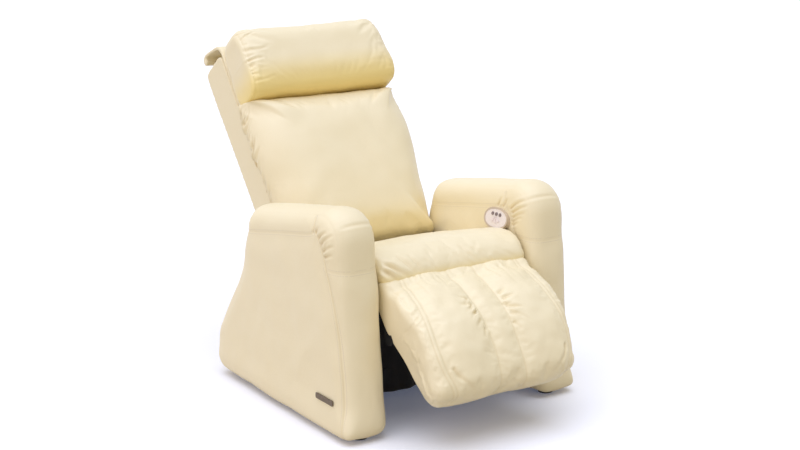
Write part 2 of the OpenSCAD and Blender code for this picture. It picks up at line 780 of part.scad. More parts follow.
hinge_z = shell_h + strap_t + 4;
hinge_y = shell_front - pillow_gap - 16;
strap_inset = 5;
module pillow_strap() {
    roll_y = back_r - strap_roll_r;
    color(ivory) on_back() along_x(strap_inset - back_w / 2, back_w / 2 - strap_inset) {
        translate([shell_front + 2, shell_h + 0.3]) square([roll_y - shell_front - 2, strap_t]);
        polygon([[shell_front + 3, shell_h + 0.3], [shell_front + 3, shell_h + 0.3 + strap_t],
            [hinge_y + 4, hinge_z + 4], [hinge_y + 4, hinge_z - 5]]);
        translate([roll_y, shell_h + strap_roll_r + 0.3]) circle(r = strap_roll_r);
    }
}

module head_pillow() {
    pillow_z0 = cushion_top + 3;
    back_y = shell_front - pillow_gap;
    color(ivory) on_back() difference() {
        intersection() {
            along_x(-pillow_w / 2, pillow_w / 2)
                translate([back_y - pillow_d / 2, pillow_z0 + pillow_h / 2])
                    polygon(superellipse(pillow_d / 2, pillow_h / 2, 0.55));
            along_y(back_y - pillow_d - eps, back_y + eps)
                polygon(rounded([-pillow_w / 2, pillow_z0], [pillow_w / 2, pillow_z0 + pillow_h],
                    pillow_corner * [1, 1, 1, 1]));
        }
        bar_x([hinge_y, hinge_z], 12, -pillow_w, pillow_w);
    }
}

/* Leg rest: z runs up from the pad to its pivot, -y faces the sitter's calves */

leg_pivot = [-leg_pivot_y, leg_pivot_z];
leg_lever_angle = -65 + leg_tilt;
leg_pin = leg_lever * [cos(leg_lever_angle), sin(leg_lever_angle)];
leg_back = 5;
crown_at = 190;
leg_bar = [leg_back + leg_board_t + 10, -leg_r - 60];

module on_leg() {
    translate([0, leg_pivot.x, leg_pivot.y]) rotate([-leg_tilt, 0, 0]) children();
}

// Depth of the pad ahead of the pivot, at a distance u below it
function crown(u) = u < crown_at ? leg_r + (leg_crown - leg_r) * pow(sin(90 * u / crown_at), 1.3)
    : leg_crown - 0.0012 * pow(u - crown_at, 2);

// Room around the lever pin for the actuator's eye
module lever_pocket() {
    half = eye_w / 2 + ear_gap + ear_t + 2;
    bar_x(leg_pin, lever_pin_r + 2 * leg_play + 7, -actuator_x - half, -actuator_x + half);
}

module leg_pad() {
    u_edge = leg_l - leg_edge_r;
    color(ivory) on_leg() difference() {
        intersection() {
            along_x(-leg_w / 2, leg_w / 2) polygon(concat(
                arc([0, 0], leg_r, 180, 96, 8),
                [[leg_back, leg_r], [leg_back, -leg_l + 6], [0, -leg_l]],
                arc([leg_edge_r - crown(u_edge), -u_edge], leg_edge_r, 270, 180, 8),
                [for (u = [u_edge - 30:-30:20]) [-crown(u), -u]]));
            along_z(-leg_l, leg_r) polygon(concat(
                [[leg_w / 2, leg_back + eps], [-leg_w / 2, leg_back + eps]],
                [for (i = [0:24]) let (x = -1 + i / 12)
                    [x * leg_w / 2, -leg_crown * (1 - 0.36 * pow(abs(x), 5))]]));
        }
        lever_pocket();
    }
}

module leg_board() {
    half = eye_w / 2 + ear_gap + ear_t + 2;
    color(wood) on_leg() difference() {
        box([-leg_w / 2, leg_back + 0.2, -leg_l + 6], [leg_w / 2, leg_back + leg_board_t, -leg_r - 4]);
        box([-actuator_x - half, 0, leg_bar.y - 12],
            [-actuator_x + half, leg_back + leg_board_t + eps, 0]);
    }
}

module leg_frame() {
    color(steel) on_leg() {
        for (side = [-1, 1]) on_side(side)
            along_x(leg_w / 2 + gap, leg_w / 2 + gap + hinge_plate_t) difference() {
                hull() {
                    circle(r = 18, $fn = 32);
                    translate(leg_bar - [8, 0]) circle(r = 18, $fn = 32);
                }
                circle(r = pin_r + run_fit);
            }
        bar_x(leg_bar, 9.8, -leg_w / 2 - gap - 3, leg_w / 2 + gap + 3);
        lever_ears(-actuator_x, leg_bar, leg_pin, 9);
    }
}

/* Actuators: a tube with a motor, pivoted in the base, and a rod with an eye */

// Point of a local back or leg rest position in the part's side view
function placed(pivot, tilt, p) = pivot
    + p.x * [cos(tilt), -sin(tilt)] + p.y * [sin(tilt), cos(tilt)];
back_eye = placed(back_pivot, back_tilt, back_pin);
leg_eye = placed(leg_pivot, leg_tilt, leg_pin);
back_stroke = 60;
leg_stroke = 45;

module on_line(from, to, x) {
    d = to - from;
    translate([x, from.x, from.y]) rotate([atan2(d.y, d.x) - 90, 0, 0]) children();
}

// Rod that stays outside the tube when the actuator is shortest
rod_out = 40;
module actuator(from, to, x, stroke) {
    tube_len = norm(to - from) - stroke - rod_out;
    color(black_plastic) on_line(from, to, x) difference() {
        union() {
            bar_x([0, 0], tube_r - 2, -eye_w / 2, eye_w / 2);
            box([-eye_w / 2, 8 - tube_r, 0], [eye_w / 2, tube_r - 8, tube_r + 4]);
            translate([0, 0, tube_r + 3]) cylinder(r = tube_r, h = tube_len - tube_r - 3);
            box([-eye_w / 2 - 14, -tube_r - 4, tube_r + 24], [eye_w / 2 + 14, tube_r + 4, tube_r + 104]);
        }
        bar_x([0, 0], lever_pin_r + run_fit, -eye_w, eye_w);
        translate([0, 0, tube_r + 14]) cylinder(r = rod_r + run_fit, h = tube_len);
    }
}

module actuator_rod(from, to, x, stroke, play) {
    length = norm(to - from);
    eye_in = lever_pin_r + play;
    tube_len = length - stroke - rod_out;
    color("silver") on_line(from, to, x) difference() {
        union() {
            bar_x([0, length], eye_in + 6, -eye_w / 2, eye_w / 2);
            translate([0, 0, tube_r + 14 + stroke]) cylinder(r = rod_r, h = length - eye_in - 14 - tube_r - stroke);
        }
        bar_x([0, length], eye_in, -eye_w, eye_w);
    }
}

module back_actuator() { actuator(back_base, back_eye, actuator_x, back_stroke); }
module back_rod() { actuator_rod(back_base, back_eye, actuator_x, back_stroke, back_play); }
module leg_actuator() { actuator(leg_base, leg_eye, -actuator_x, leg_stroke); }
module leg_rod() { actuator_rod(leg_base, leg_eye, -actuator_x, leg_stroke, leg_play); }

/* Controller on the left arm: x runs up its face, z points out of it */

face_drop = 9;
button_r = 5;
button_gap = 0.3;
button_row = 12;
button_pitch = 17;
key_r = [4, 21];
key_spread = 30;
key_gap = 8;
pocket_d = 8;
ctl_d = 20;
rim_t = 5;
module on_controller() {
    translate([arm_in - face_drop, -ctl_front, ctl_z]) rotate([0, ctl_tilt - 90, 0]) children();
}
function oval(grow) = superellipse(ctl_h / 2 + grow, ctl_l / 2 + grow, 0.92, 48);

module controller_bezel() {
    color([0.86, 0.82, 0.74]) on_controller() difference() {
        along_z(-ctl_d, 0) polygon(oval(0));
        along_z(-pocket_d, eps) polygon(oval(-rim_t));
    }
}

// Fan-shaped key outline; n is -1, 0 or 1 from the front to the rear
module key_outline(n, grow = 0) {
    mid = 180 - n * (key_spread + key_gap);
    r0 = key_r[0] - grow;
    r1 = key_r[1] + grow;
    half = key_spread / 2 + grow;
    translate([7, n * 2.5]) polygon(concat(arc([0, 0], r1, mid - half, mid + half, 6),
        arc([0, 0], r0, mid + half, mid - half, 4)));
}

module controller_face() {
    color([0.93, 0.90, 0.84]) on_controller() difference() {
        along_z(-pocket_d, -1) polygon(oval(-rim_t - 0.2));
        for (n = [-1, 0, 1]) {
            translate([button_row, n * button_pitch, 2 - pocket_d])
                cylinder(r = button_r + button_gap, h = pocket_d);
            translate([0, 0, 2 - pocket_d]) linear_extrude(pocket_d) key_outline(n, button_gap);
        }
    }
}

module button(n) {
    color([0.16, 0.13, 0.13]) on_controller()
        translate([button_row, n * button_pitch, 2 - pocket_d + press + 0.2])
            cylinder(r = button_r, h = pocket_d - 2);
}

module key(n) {
    color([0.80, 0.76, 0.70]) on_controller() translate([0, 0, 2 - pocket_d + press + 0.2])
        linear_extrude(pocket_d - 2.5) key_outline(n);
}

glide_feet();
arm_frames();
outer_panel(1);  // outer_panel_left
outer_panel(-1);  // outer_panel_right
inner_panel(1);  // inner_panel_left
inner_panel(-1);  // inner_panel_right
front_band(1);  // front_band_left
front_band(-1);  // front_band_right
rear_band(1);  // rear_band_left
rear_band(-1);  // rear_band_right
arm_pad(1);  // arm_pad_left
arm_pad(-1);  // arm_pad_right
badge_plate();
seat_rails();
seat_deck();
seat_cushion();
front_skirt();
cross_tubes();
rear_cover();
control_box();
power_inlet();
power_rocker();
transport_wheel(1);  // transport_wheel_left
transport_wheel(-1);  // transport_wheel_right
pivot_pins();
controller_bezel();
controller_face();
button(-1);  // button_front
button(0);  // button_middle
button(1);  // button_rear
key(-1);  // key_front
key(0);  // key_middle
key(1);  // key_rear
back_frame();
back_band(1);  // back_band_left
back_band(-1);  // back_band_right
back_top_band();
back_cover();
back_cushion();
pillow_strap();
head_pillow();
guide_rails();
lift_motor();
lead_screw();
carriage();
knead_motor();
knead_arm(1);  // knead_arm_left
knead_arm(-1);  // knead_arm_right
roller(1, 1);  // roller_upper_left
roller(1, -1);  // roller_lower_left
roller(-1, 1);  // roller_upper_right
roller(-1, -1);  // roller_lower_right
leg_frame();
leg_board();
leg_pad();
back_actuator();
back_rod();
leg_actuator();
leg_rod();
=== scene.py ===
import math

import bmesh
import bpy
import numpy as np
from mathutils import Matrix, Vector, noise
from mathutils.kdtree import KDTree


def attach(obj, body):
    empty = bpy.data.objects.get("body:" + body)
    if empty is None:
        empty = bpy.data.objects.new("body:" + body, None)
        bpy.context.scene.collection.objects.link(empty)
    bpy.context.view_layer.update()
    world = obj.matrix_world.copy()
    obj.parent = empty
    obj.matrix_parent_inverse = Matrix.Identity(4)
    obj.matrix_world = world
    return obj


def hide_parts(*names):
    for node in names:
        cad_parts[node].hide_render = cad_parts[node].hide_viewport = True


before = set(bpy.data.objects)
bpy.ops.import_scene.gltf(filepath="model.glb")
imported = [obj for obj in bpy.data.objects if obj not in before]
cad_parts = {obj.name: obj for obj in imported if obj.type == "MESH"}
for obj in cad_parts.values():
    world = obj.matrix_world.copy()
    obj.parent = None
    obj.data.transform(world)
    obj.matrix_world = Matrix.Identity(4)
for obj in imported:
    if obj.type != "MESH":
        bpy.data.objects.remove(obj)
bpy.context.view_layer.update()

scene = bpy.context.scene
scene.view_settings.view_transform = "Standard"


# Camera. At standing eye height in front of the chair and to the sitter's right, aimed at the
# middle of the chair.

camera = bpy.data.objects.new("camera", bpy.data.cameras.new("camera"))
scene.collection.objects.link(camera)
camera.data.lens = 63.5
camera.data.sensor_width = 36.0
camera.location = (-2.22978, -3.40387, 1.44576)
camera_aim = Vector((0.029, -0.046, 0.478))
camera.rotation_euler = (camera_aim - camera.location).to_track_quat("-Z", "Y").to_euler()
scene.camera = camera


# Floor, sky and lamps. A white studio cove: the camera sees it plain white, while the light that
# it gives back is warmer and weaker. Two broad soft lamps, one overhead and one from the left.

WHITE = (1.0, 1.0, 1.0, 1)
SKY_LIGHT, SKY_STRENGTH = (1.0, 0.92, 0.74, 1), 0.52
FLOOR_BOUNCE = (0.56, 0.51, 0.41, 1)
FLOOR_LIFT = (0.045, 0.060, 0.105, 1)
FLOOR_HALF = 60


def new_piece(name, form):
    """Makes a bmesh into an object of the scene"""
    piece = bpy.data.objects.new(name, bpy.data.meshes.new(name))
    form.to_mesh(piece.data)
    form.free()
    scene.collection.objects.link(piece)
    return piece


def add(tree, kind, **settings):
    node = tree.nodes.new("ShaderNode" + kind)
    for key, value in settings.items():
        setattr(node, key, value)
    return node


def feed(tree, socket, value):
    if isinstance(value, (int, float, tuple)):
        socket.default_value = value
    else:
        tree.links.new(value, socket)


def calc(tree, operation, *values):
    node = add(tree, "Math", operation=operation)
    for socket, value in zip(node.inputs, values):
        feed(tree, socket, value)
    return node.outputs["Value"]


def mix_colour(tree, share, first, second):
    node = add(tree, "Mix", data_type="RGBA")
    feed(tree, node.inputs[0], share)
    feed(tree, node.inputs[6], first)
    feed(tree, node.inputs[7], second)
    return node.outputs[2]


def new_material(name, **constants):
    material = bpy.data.materials.new(name)
    material.use_nodes = True
    shader = material.node_tree.nodes["Principled BSDF"]
    for label, value in constants.items():
        shader.inputs[label.replace("_", " ")].default_value = value
    return material, material.node_tree, shader


def seen_directly(tree):
    """1 where the camera sees a backdrop, also through or in something shiny, and 0 for its light"""
    rays = add(tree, "LightPath").outputs
    seen = calc(tree, "MAXIMUM", rays["Is Camera Ray"], rays["Is Glossy Ray"])
    return calc(tree, "MAXIMUM", seen, rays["Is Transmission Ray"])


cove = bmesh.new()
bmesh.ops.create_grid(cove, x_segments=1, y_segments=1, size=FLOOR_HALF)
floor = new_piece("floor", cove)
floor_paint, tree, shader = new_material("floor_paint", Roughness=0.9, Specular_IOR_Level=0.0,
                                         Emission_Color=FLOOR_LIFT)
seen = seen_directly(tree)
feed(tree, shader.inputs["Base Color"], mix_colour(tree, seen, FLOOR_BOUNCE, WHITE))
feed(tree, shader.inputs["Emission Strength"], seen)
floor.data.materials.append(floor_paint)

world = bpy.data.worlds.new("sky")
world.use_nodes = True
scene.world = world
tree = world.node_tree
sky = tree.nodes["Background"]
seen = seen_directly(tree)
sky_level = add(tree, "Mix")
sky_level.inputs["A"].default_value = SKY_STRENGTH
sky_level.inputs["B"].default_value = 1.0
feed(tree, sky_level.inputs["Factor"], seen)
feed(tree, sky.inputs["Strength"], sky_level.outputs["Result"])
feed(tree, sky.inputs["Color"], mix_colour(tree, seen, SKY_LIGHT, WHITE))


def sun(name, strength, angle, direction, colour):
    lamp = bpy.data.lights.new(name, "SUN")
    lamp.energy = strength
    lamp.angle = math.radians(angle)
    lamp.color = colour
    holder = bpy.data.objects.new(name, lamp)
    scene.collection.objects.link(holder)
    holder.rotation_euler = Vector(direction).to_track_quat("-Z", "Y").to_euler()


sun("overhead_softbox", strength=1.64, angle=66, direction=(0.10, 0.05, -1.0), colour=(0.90, 1.0, 1.33))
sun("left_softbox", strength=0.88, angle=70, direction=(1.0, 0.15, -0.28), colour=(1.0, 0.935, 1.12))


# Leather. Ivory upholstery hide, lightly coated: a fine pebbled grain, soft creases between
# the pebbles and a little colour drift over a hide. Painted shade gives it deeper colour down in the seams
# and folds and underneath.

def node_group(name, inputs, outputs):
    group = bpy.data.node_groups.new(name, "ShaderNodeTree")
    for label, value in inputs:
        group.interface.new_socket(label, in_out="INPUT", socket_type="NodeSocketFloat").default_value = value
    for label in outputs:
        group.interface.new_socket(label, in_out="OUTPUT", socket_type="NodeSocketFloat")
    return group, group.nodes.new("NodeGroupInput"), group.nodes.new("NodeGroupOutput")


def noise_of(tree, place, scale, detail, roughness=0.5):
    node = add(tree, "TexNoise")
    feed(tree, node.inputs["Scale"], scale)
    node.inputs["Detail"].default_value = detail
    node.inputs["Roughness"].default_value = roughness
    tree.links.new(place, node.inputs["Vector"])
    return node.outputs["Fac"]


def use_group(tree, group, **values):
    node = tree.nodes.new("ShaderNodeGroup")
    node.node_tree = group
    for label, value in values.items():
        feed(tree, node.inputs[label], value)
    return node.outputs


def bump(tree, shader, height, strength, distance):
    node = add(tree, "Bump")
    node.inputs["Strength"].default_value = strength
    node.inputs["Distance"].default_value = distance
    tree.links.new(height, node.inputs["Height"])
    tree.links.new(node.outputs["Normal"], shader.inputs["Normal"])


def rough(tree, shader, pattern, spread, least):
    """Roughness that rises with a pattern from a least value"""
    feed(tree, shader.inputs["Roughness"],
         calc(tree, "ADD", calc(tree, "MULTIPLY", pattern, spread), least))


def noted(tree, label):
    """A value kept for each point of a piece"""
    return add(tree, "Attribute", attribute_name=label).outputs["Fac"]


# Pebbled grain: a height, and slow drifts of tone and gloss about 0.5. Features per metre, and
# how much each kind adds to the height
PEBBLES, PEBBLE_HEIGHT = 620.0, -0.5
CREASES, CREASE_HEIGHT = 150, 1.1
SWELLS, SWELL_HEIGHT = 26, 1.6
hide_grain, given, made = node_group("hide_grain", [("Pebbles", PEBBLES)], ["Height", "Tone", "Gloss"])
place = add(hide_grain, "TexCoord").outputs["Object"]
pebble = add(hide_grain, "TexVoronoi", feature="SMOOTH_F1")
pebble.inputs["Smoothness"].default_value = 0.35
hide_grain.links.new(place, pebble.inputs["Vector"])
hide_grain.links.new(given.outputs["Pebbles"], pebble.inputs["Scale"])
pebbles = calc(hide_grain, "MULTIPLY", pebble.outputs["Distance"], PEBBLE_HEIGHT)
creases = calc(hide_grain, "MULTIPLY", noise_of(hide_grain, place, CREASES, 3, 0.6), CREASE_HEIGHT)
swells = calc(hide_grain, "MULTIPLY", noise_of(hide_grain, place, SWELLS, 2), SWELL_HEIGHT)
height = calc(hide_grain, "ADD", calc(hide_grain, "ADD", pebbles, creases), swells)
feed(hide_grain, made.inputs["Height"], height)
feed(hide_grain, made.inputs["Tone"], noise_of(hide_grain, place, 7, 4, 0.6))
feed(hide_grain, made.inputs["Gloss"], noise_of(hide_grain, place, 40, 3))

# Topstitching beside a seam: dashes of thread in two rows, from the distances across and along it
STITCH_SHARE = 0.72
stitching, given, made = node_group("stitching", [("Across", 1.0), ("Along", 0.0), ("Row", 0.006),
                                                  ("Pitch", 0.0048), ("Thread", 0.0007)], ["Mask"])
off_row = calc(stitching, "SUBTRACT", given.outputs["Across"], given.outputs["Row"])
in_row = calc(stitching, "LESS_THAN", calc(stitching, "ABSOLUTE", off_row), given.outputs["Thread"])
stitch = calc(stitching, "DIVIDE", given.outputs["Along"], given.outputs["Pitch"])
dash = calc(stitching, "LESS_THAN", calc(stitching, "FRACT", stitch), STITCH_SHARE)
feed(stitching, made.inputs["Mask"], calc(stitching, "MULTIPLY", in_row, dash))

FACE_COLOUR = (0.915, 0.822, 0.580, 1)
TONE_COLOUR = (0.890, 0.782, 0.525, 1)
# Painted shade: the leather darkens to these colours in its seams, creases and folds, and underneath the
# seat's front roll, the back cushion's lower end and the pillow.
FOLD_SHADE_COLOUR = (0.58, 0.41, 0.15, 1)
UNDER_SHADE_COLOUR = (0.95, 0.72, 0.17, 1)
THREAD_COLOUR = (0.80, 0.70, 0.50, 1)
ivory_leather, tree, shader = new_material("ivory_leather", Specular_IOR_Level=0.42, Sheen_Weight=0.08,
                                           Sheen_Roughness=0.4)
grain = use_group(tree, hide_grain, Pebbles=PEBBLES)
thread = use_group(tree, stitching, Across=noted(tree, "seam_across"),
                   Along=noted(tree, "seam_along"))["Mask"]
hide_colour_and_shade = mix_colour(tree, grain["Tone"], FACE_COLOUR, TONE_COLOUR)
# Paints shade into the colour from each point's kept shares underneath things and in the folds.
for label, colour in (("under", UNDER_SHADE_COLOUR), ("fold", FOLD_SHADE_COLOUR)):
    hide_colour_and_shade = mix_colour(tree, noted(tree, label), hide_colour_and_shade, colour)
feed(tree, shader.inputs["Base Color"], mix_colour(tree, thread, hide_colour_and_shade, THREAD_COLOUR))
rough(tree, shader, grain["Gloss"], spread=0.16, least=0.34)
raised = calc(tree, "MULTIPLY", thread, 0.6)
bump(tree, shader, calc(tree, "ADD", grain["Height"], raised), strength=0.35, distance=0.0009)


# Arms. A foam-filled pad runs over each arm, round its nose and down its front; padded leather
# covers the sides. One sewn cover: pleats gather the pad into the corner of the side panel.

ARM_IN, ARM_OUT = 0.250, 0.400
NOSE, NOSE_R = (-0.2850, 0.5290), 0.095
TAIL, TAIL_R = (0.0810, 0.5140), 0.050
ARM_CROWN = 0.003
ARM_PUFF = 0.0025
ARM_DRAWN_IN = 0.0030
SKIN_STEP = 0.006
RIM_STEP = 0.004


def points(piece):
    flat = np.empty(len(piece.data.vertices) * 3)
    piece.data.vertices.foreach_get("co", flat)
    return flat.reshape(-1, 3)


def set_points(piece, places):
    piece.data.vertices.foreach_set("co", np.ascontiguousarray(places).reshape(-1))
    piece.data.update()


def normals(piece):
    flat = np.empty(len(piece.data.vertices) * 3)
    piece.data.vertex_normals.foreach_get("vector", flat)
    return flat.reshape(-1, 3)


def bake(piece):
    graph = bpy.context.evaluated_depsgraph_get()
    mesh = bpy.data.meshes.new_from_object(piece.evaluated_get(graph))
    piece.modifiers.clear()
    piece.data = mesh


def ease(value, start, end):
    t = np.clip((value - start) / (end - start), 0, 1)
    return t * t * (3 - 2 * t)


def arc(centre, radius, start, end):
    turns = np.radians(np.linspace(start, end, 2 + int(abs(end - start) / 6)))
    return [(centre[0] + radius * math.cos(a), centre[1] + radius * math.sin(a)) for a in turns]


def rim_of(outline):
    """Even points round a closed outline, with their outward directions"""
    loop = np.array([*outline, outline[0]])
    run = np.concatenate(([0], np.cumsum(np.linalg.norm(np.diff(loop, axis=0), axis=1))))
    ticks = np.arange(0, run[-1], RIM_STEP)
    rim = np.stack([np.interp(ticks, run, loop[:, k]) for k in (0, 1)], 1)
    along = np.roll(rim, -1, 0) - np.roll(rim, 1, 0)
    outward = np.stack((along[:, 1], -along[:, 0]), 1)
    outward /= np.linalg.norm(outward, axis=1, keepdims=True)
    turn = np.sum(rim[:, 0] * np.roll(rim[:, 1], -1) - rim[:, 1] * np.roll(rim[:, 0], -1))
    return rim, outward * np.sign(turn)


def evened(values):
    """Values round a rim, each averaged with eight neighbours on each side"""
    return np.mean([np.roll(values, shift) for shift in range(-8, 9)], axis=0)


def nearest_on(rim, flat):
    tree = KDTree(len(rim))
    for index, (u, v) in enumerate(rim):
        tree.insert((u, v, 0), index)
    tree.balance()
    return np.array([tree.find((u, v, 0))[1] for u, v in flat])


def weigh(piece, name, shares):
    """Keeps a share from 0 to 1 for each point as a vertex group, in quarters"""
    group = piece.vertex_groups.new(name=name)
    for level in (0.25, 0.5, 0.75, 1.0):
        chosen = np.nonzero(np.abs(shares - level) <= 0.125)[0]
        group.add([int(index) for index in chosen], level, "REPLACE")
    return name


def soften(piece, rounds, where=None):
    smooth = piece.modifiers.new("soften", "SMOOTH")
    if where is not None:
        smooth.vertex_group = weigh(piece, "softened", where)
    smooth.factor = 0.5
    smooth.iterations = rounds
    bake(piece)


def refine(piece):
    finer = piece.modifiers.new("finer", "SUBSURF")
    finer.levels = finer.render_levels = 1
    bake(piece)


def remesh(piece, step):
    """Gives a piece an even closed skin with a point about every step"""
    even = piece.modifiers.new("skin", "REMESH")
    even.mode = "VOXEL"
    even.voxel_size = step


def slab(name, outline, low, high, step):
    """A closed slab over a flat outline with an even skin; its points are (u, v, height)"""
    form = bmesh.new()
    base = form.faces.new([form.verts.new((u, v, low)) for u, v in outline])
    lifted = bmesh.ops.extrude_face_region(form, geom=[base])["geom"]
    bmesh.ops.translate(form, verts=[v for v in lifted if isinstance(v, bmesh.types.BMVert)],
                        vec=(0, 0, high - low))
    bmesh.ops.recalc_face_normals(form, faces=form.faces)
    piece = new_piece(name, form)
    remesh(piece, step)
    bake(piece)
    return piece


def roll_rim(flat, drop, rim, outward, near, reach, fall, power):
    """Rounds the edge between a slab's face and its rim; drop is how far below the face each
    point is, reach and fall how far in and down the round goes, power 1 an arc, less is squarer"""
    gap = np.sum((rim[near] - flat) * outward[near], axis=1)
    across = np.clip(1 - gap / reach, 0, 1)
    down = np.clip(1 - drop / fall, 0, 1)
    bow = (across ** (2 / power) + down ** (2 / power)) ** (power / 2) + 1e-9
    scale = np.where((across > 0) & (down > 0), np.maximum(across, down) / bow, 1)
    return (flat + outward[near] * (reach * across * (scale - 1))[:, None],
            drop + fall * down * (1 - scale))


def round_ends(piece, half, rim, outward, reach, fall, power):
    """The points of a slab with both its ends rounded; it runs from -half to half, and reach and
    fall are sizes round its rim"""
    spot = points(piece)
    near = nearest_on(rim, spot[:, :2])
    first = roll_rim(spot[:, :2], half - spot[:, 2], rim, outward, near, reach[near], fall[near], power)
    last = roll_rim(first[0], 2 * half - first[1], rim, outward, near, reach[near], fall[near], power)
    return np.column_stack((last[0], last[1] - half))


def inflate(piece, held, cap, slack=0.0):
    """Blows the skin up as stuffed leather between the points that are held, by at most cap"""
    rest = points(piece)
    weigh(piece, "held", held)
    cloth = piece.modifiers.new("cloth", "CLOTH").settings
    cloth.quality = 5
    cloth.mass = 0.3
    cloth.tension_stiffness = cloth.compression_stiffness = 15
    cloth.shear_stiffness = 5
    cloth.bending_stiffness = 0.8
    cloth.use_pressure = True
    cloth.uniform_pressure_force = 4.0
    cloth.vertex_group_mass = "held"
    cloth.shrink_min = -slack
    cloth.effector_weights.gravity = 0.0
    for step in range(1, 21):
        scene.frame_set(step)
    graph = bpy.context.evaluated_depsgraph_get()
    flat = np.empty(len(rest) * 3)
    piece.evaluated_get(graph).data.vertices.foreach_get("co", flat)
    move = flat.reshape(-1, 3) - rest
    piece.modifiers.clear()
    scene.frame_set(1)
    length = np.linalg.norm(move, axis=1, keepdims=True) + 1e-12
    set_points(piece, rest + move * (cap * np.tanh(length / cap) / length))


def curved(line):
    """A line of points with its corners cut off twice, so that it curves"""
    line = np.array(line, float)
    for _ in range(2):
        cuts = np.stack((0.75 * line[:-1] + 0.25 * line[1:], 0.25 * line[:-1] + 0.75 * line[1:]), 1)
        line = np.concatenate((line[:1], cuts.reshape(-1, line.shape[1]), line[-1:]))
    return line


def to_line(places, line):
    """Distance of each point from a curved line, and its distance along that line"""
    line = curved(line)
    best = np.full(len(places), 1e9)
    along = np.zeros(len(places))
    run = 0.0
    for a, b in zip(line[:-1], line[1:]):
        step = b - a
        size = np.linalg.norm(step)
        t = np.clip((places - a) @ step / (size * size), 0, 1)
        gap = np.linalg.norm(places - a - t[:, None] * step, axis=1)
        nearer = gap < best
        best[nearer] = gap[nearer]
        along[nearer] = (run + t * size)[nearer]
        run += size
    return best, along, run


def nearest_line(places, lines):
    """Distances across and along the nearest of several lines"""
    found = [to_line(places, line)[:2] for line in lines]
    across = np.array([gap for gap, _ in found])
    pick = across.argmin(0)
    along = np.array([run for _, run in found])[pick, np.arange(len(places))]
    return across.min(0), along


def furrow(places, line, width, depth, fade=0.9, lips=0.35, start=0.06):
    """Height of a fold along a line, with a low lip on each side; it grows over its start and
    fades towards its far end"""
    gap, along, run = to_line(places, line)
    shape = -np.exp(-((gap / width) ** 2)) + lips * np.exp(-(((gap - 1.9 * width) / width) ** 2))
    share = along / run
    return depth * shape * ease(share, -0.001, start) * np.clip((1 - share) / fade, 0, 1) ** 0.7


def crinkles(places, seed, count, edge, heading, lengths, depth, start):
    """Height of many short uneven creases that start along an edge, all much one way (degrees)"""
    draw = np.random.RandomState(seed)
    height = np.zeros(len(places))
    edge = np.array(edge, float)
    for _ in range(count):
        first = edge[0] + (edge[1] - edge[0]) * draw.rand() + draw.normal(0, 0.003, 2)
        angle = math.radians(heading + draw.uniform(-16, 16))
        way = np.array((math.cos(angle), math.sin(angle))) * draw.uniform(*lengths)
        bend = np.array((-way[1], way[0])) * draw.uniform(-0.16, 0.16)
        line = [first, first + way * 0.5 + bend, first + way]
        height += furrow(places, line, draw.uniform(0.0028, 0.0052), depth * draw.uniform(0.35, 1.0),
                         fade=0.8, lips=0.5, start=start)
    return height


SEAM_WIDTH = 0.0030
SEAM_SHADE_WIDTH = 0.0022


def tuck(gap, depth=0.0018):
    """Height of a sewn seam drawn into the padding, at a distance from it"""
    return (-depth * np.exp(-((gap / SEAM_WIDTH) ** 2))
            - 0.6 * depth * np.exp(-((gap / (4 * SEAM_WIDTH)) ** 2)))


def unevenness(places, size, height, seed):
    """Slow unevenness of stuffed leather"""
    offset = Vector((seed * 7.3, seed * 3.1, seed * 5.7))
    return height * np.array([noise.fractal(Vector(p) / size + offset, 1.0, 2.0, 2) for p in places])


def press(piece, height):
    """Moves the skin in or out along its normals"""
    set_points(piece, points(piece) + normals(piece) * height[:, None])


def note(piece, label, values):
    """Keeps a value for each point, for the leather's colour, its painted shade and its stitches"""
    piece.data.attributes.new(label, "FLOAT", "POINT").data.foreach_set("value", values.astype(np.float32))


def put(piece, axes, origin=(0, 0, 0)):
    """Brings a piece from its own (u, v, height) to the chair's place and turn"""
    axes = np.array(axes, float)
    set_points(piece, points(piece) @ axes + np.array(origin))
    if np.linalg.det(axes) < 0:
        piece.data.flip_normals()


def dress(piece, body, nodes, fold_shade=None, seam=None, under=None):
    """Leather with its painted shade, smooth shading and the piece's place in the chair"""
    count = len(piece.data.vertices)
    note(piece, "fold", np.zeros(count) if fold_shade is None else np.clip(fold_shade, 0, 1))
    note(piece, "under", np.zeros(count) if under is None else np.clip(under, 0, 1))
    across, along = (np.ones(count), np.zeros(count)) if seam is None else seam
    note(piece, "seam_across", across)
    note(piece, "seam_along", along)
    piece.data.polygons.foreach_set("use_smooth", np.ones(len(piece.data.polygons), bool))
    piece.data.materials.clear()
    piece.data.materials.append(ivory_leather)
    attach(piece, body)
    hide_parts(*nodes)


arm_outline = [*arc((-0.4029, 0.040), 0.028, 270, 174), *arc(NOSE, NOSE_R, 174, 80.6),
               *arc(TAIL, TAIL_R, 80.6, 0), *arc((0.431, 0.506), 0.30, 180, 216),
               *arc((0.211, 0.1062), 0.113, 36, 0), *arc((0.274, 0.070), 0.050, 0, -90)]
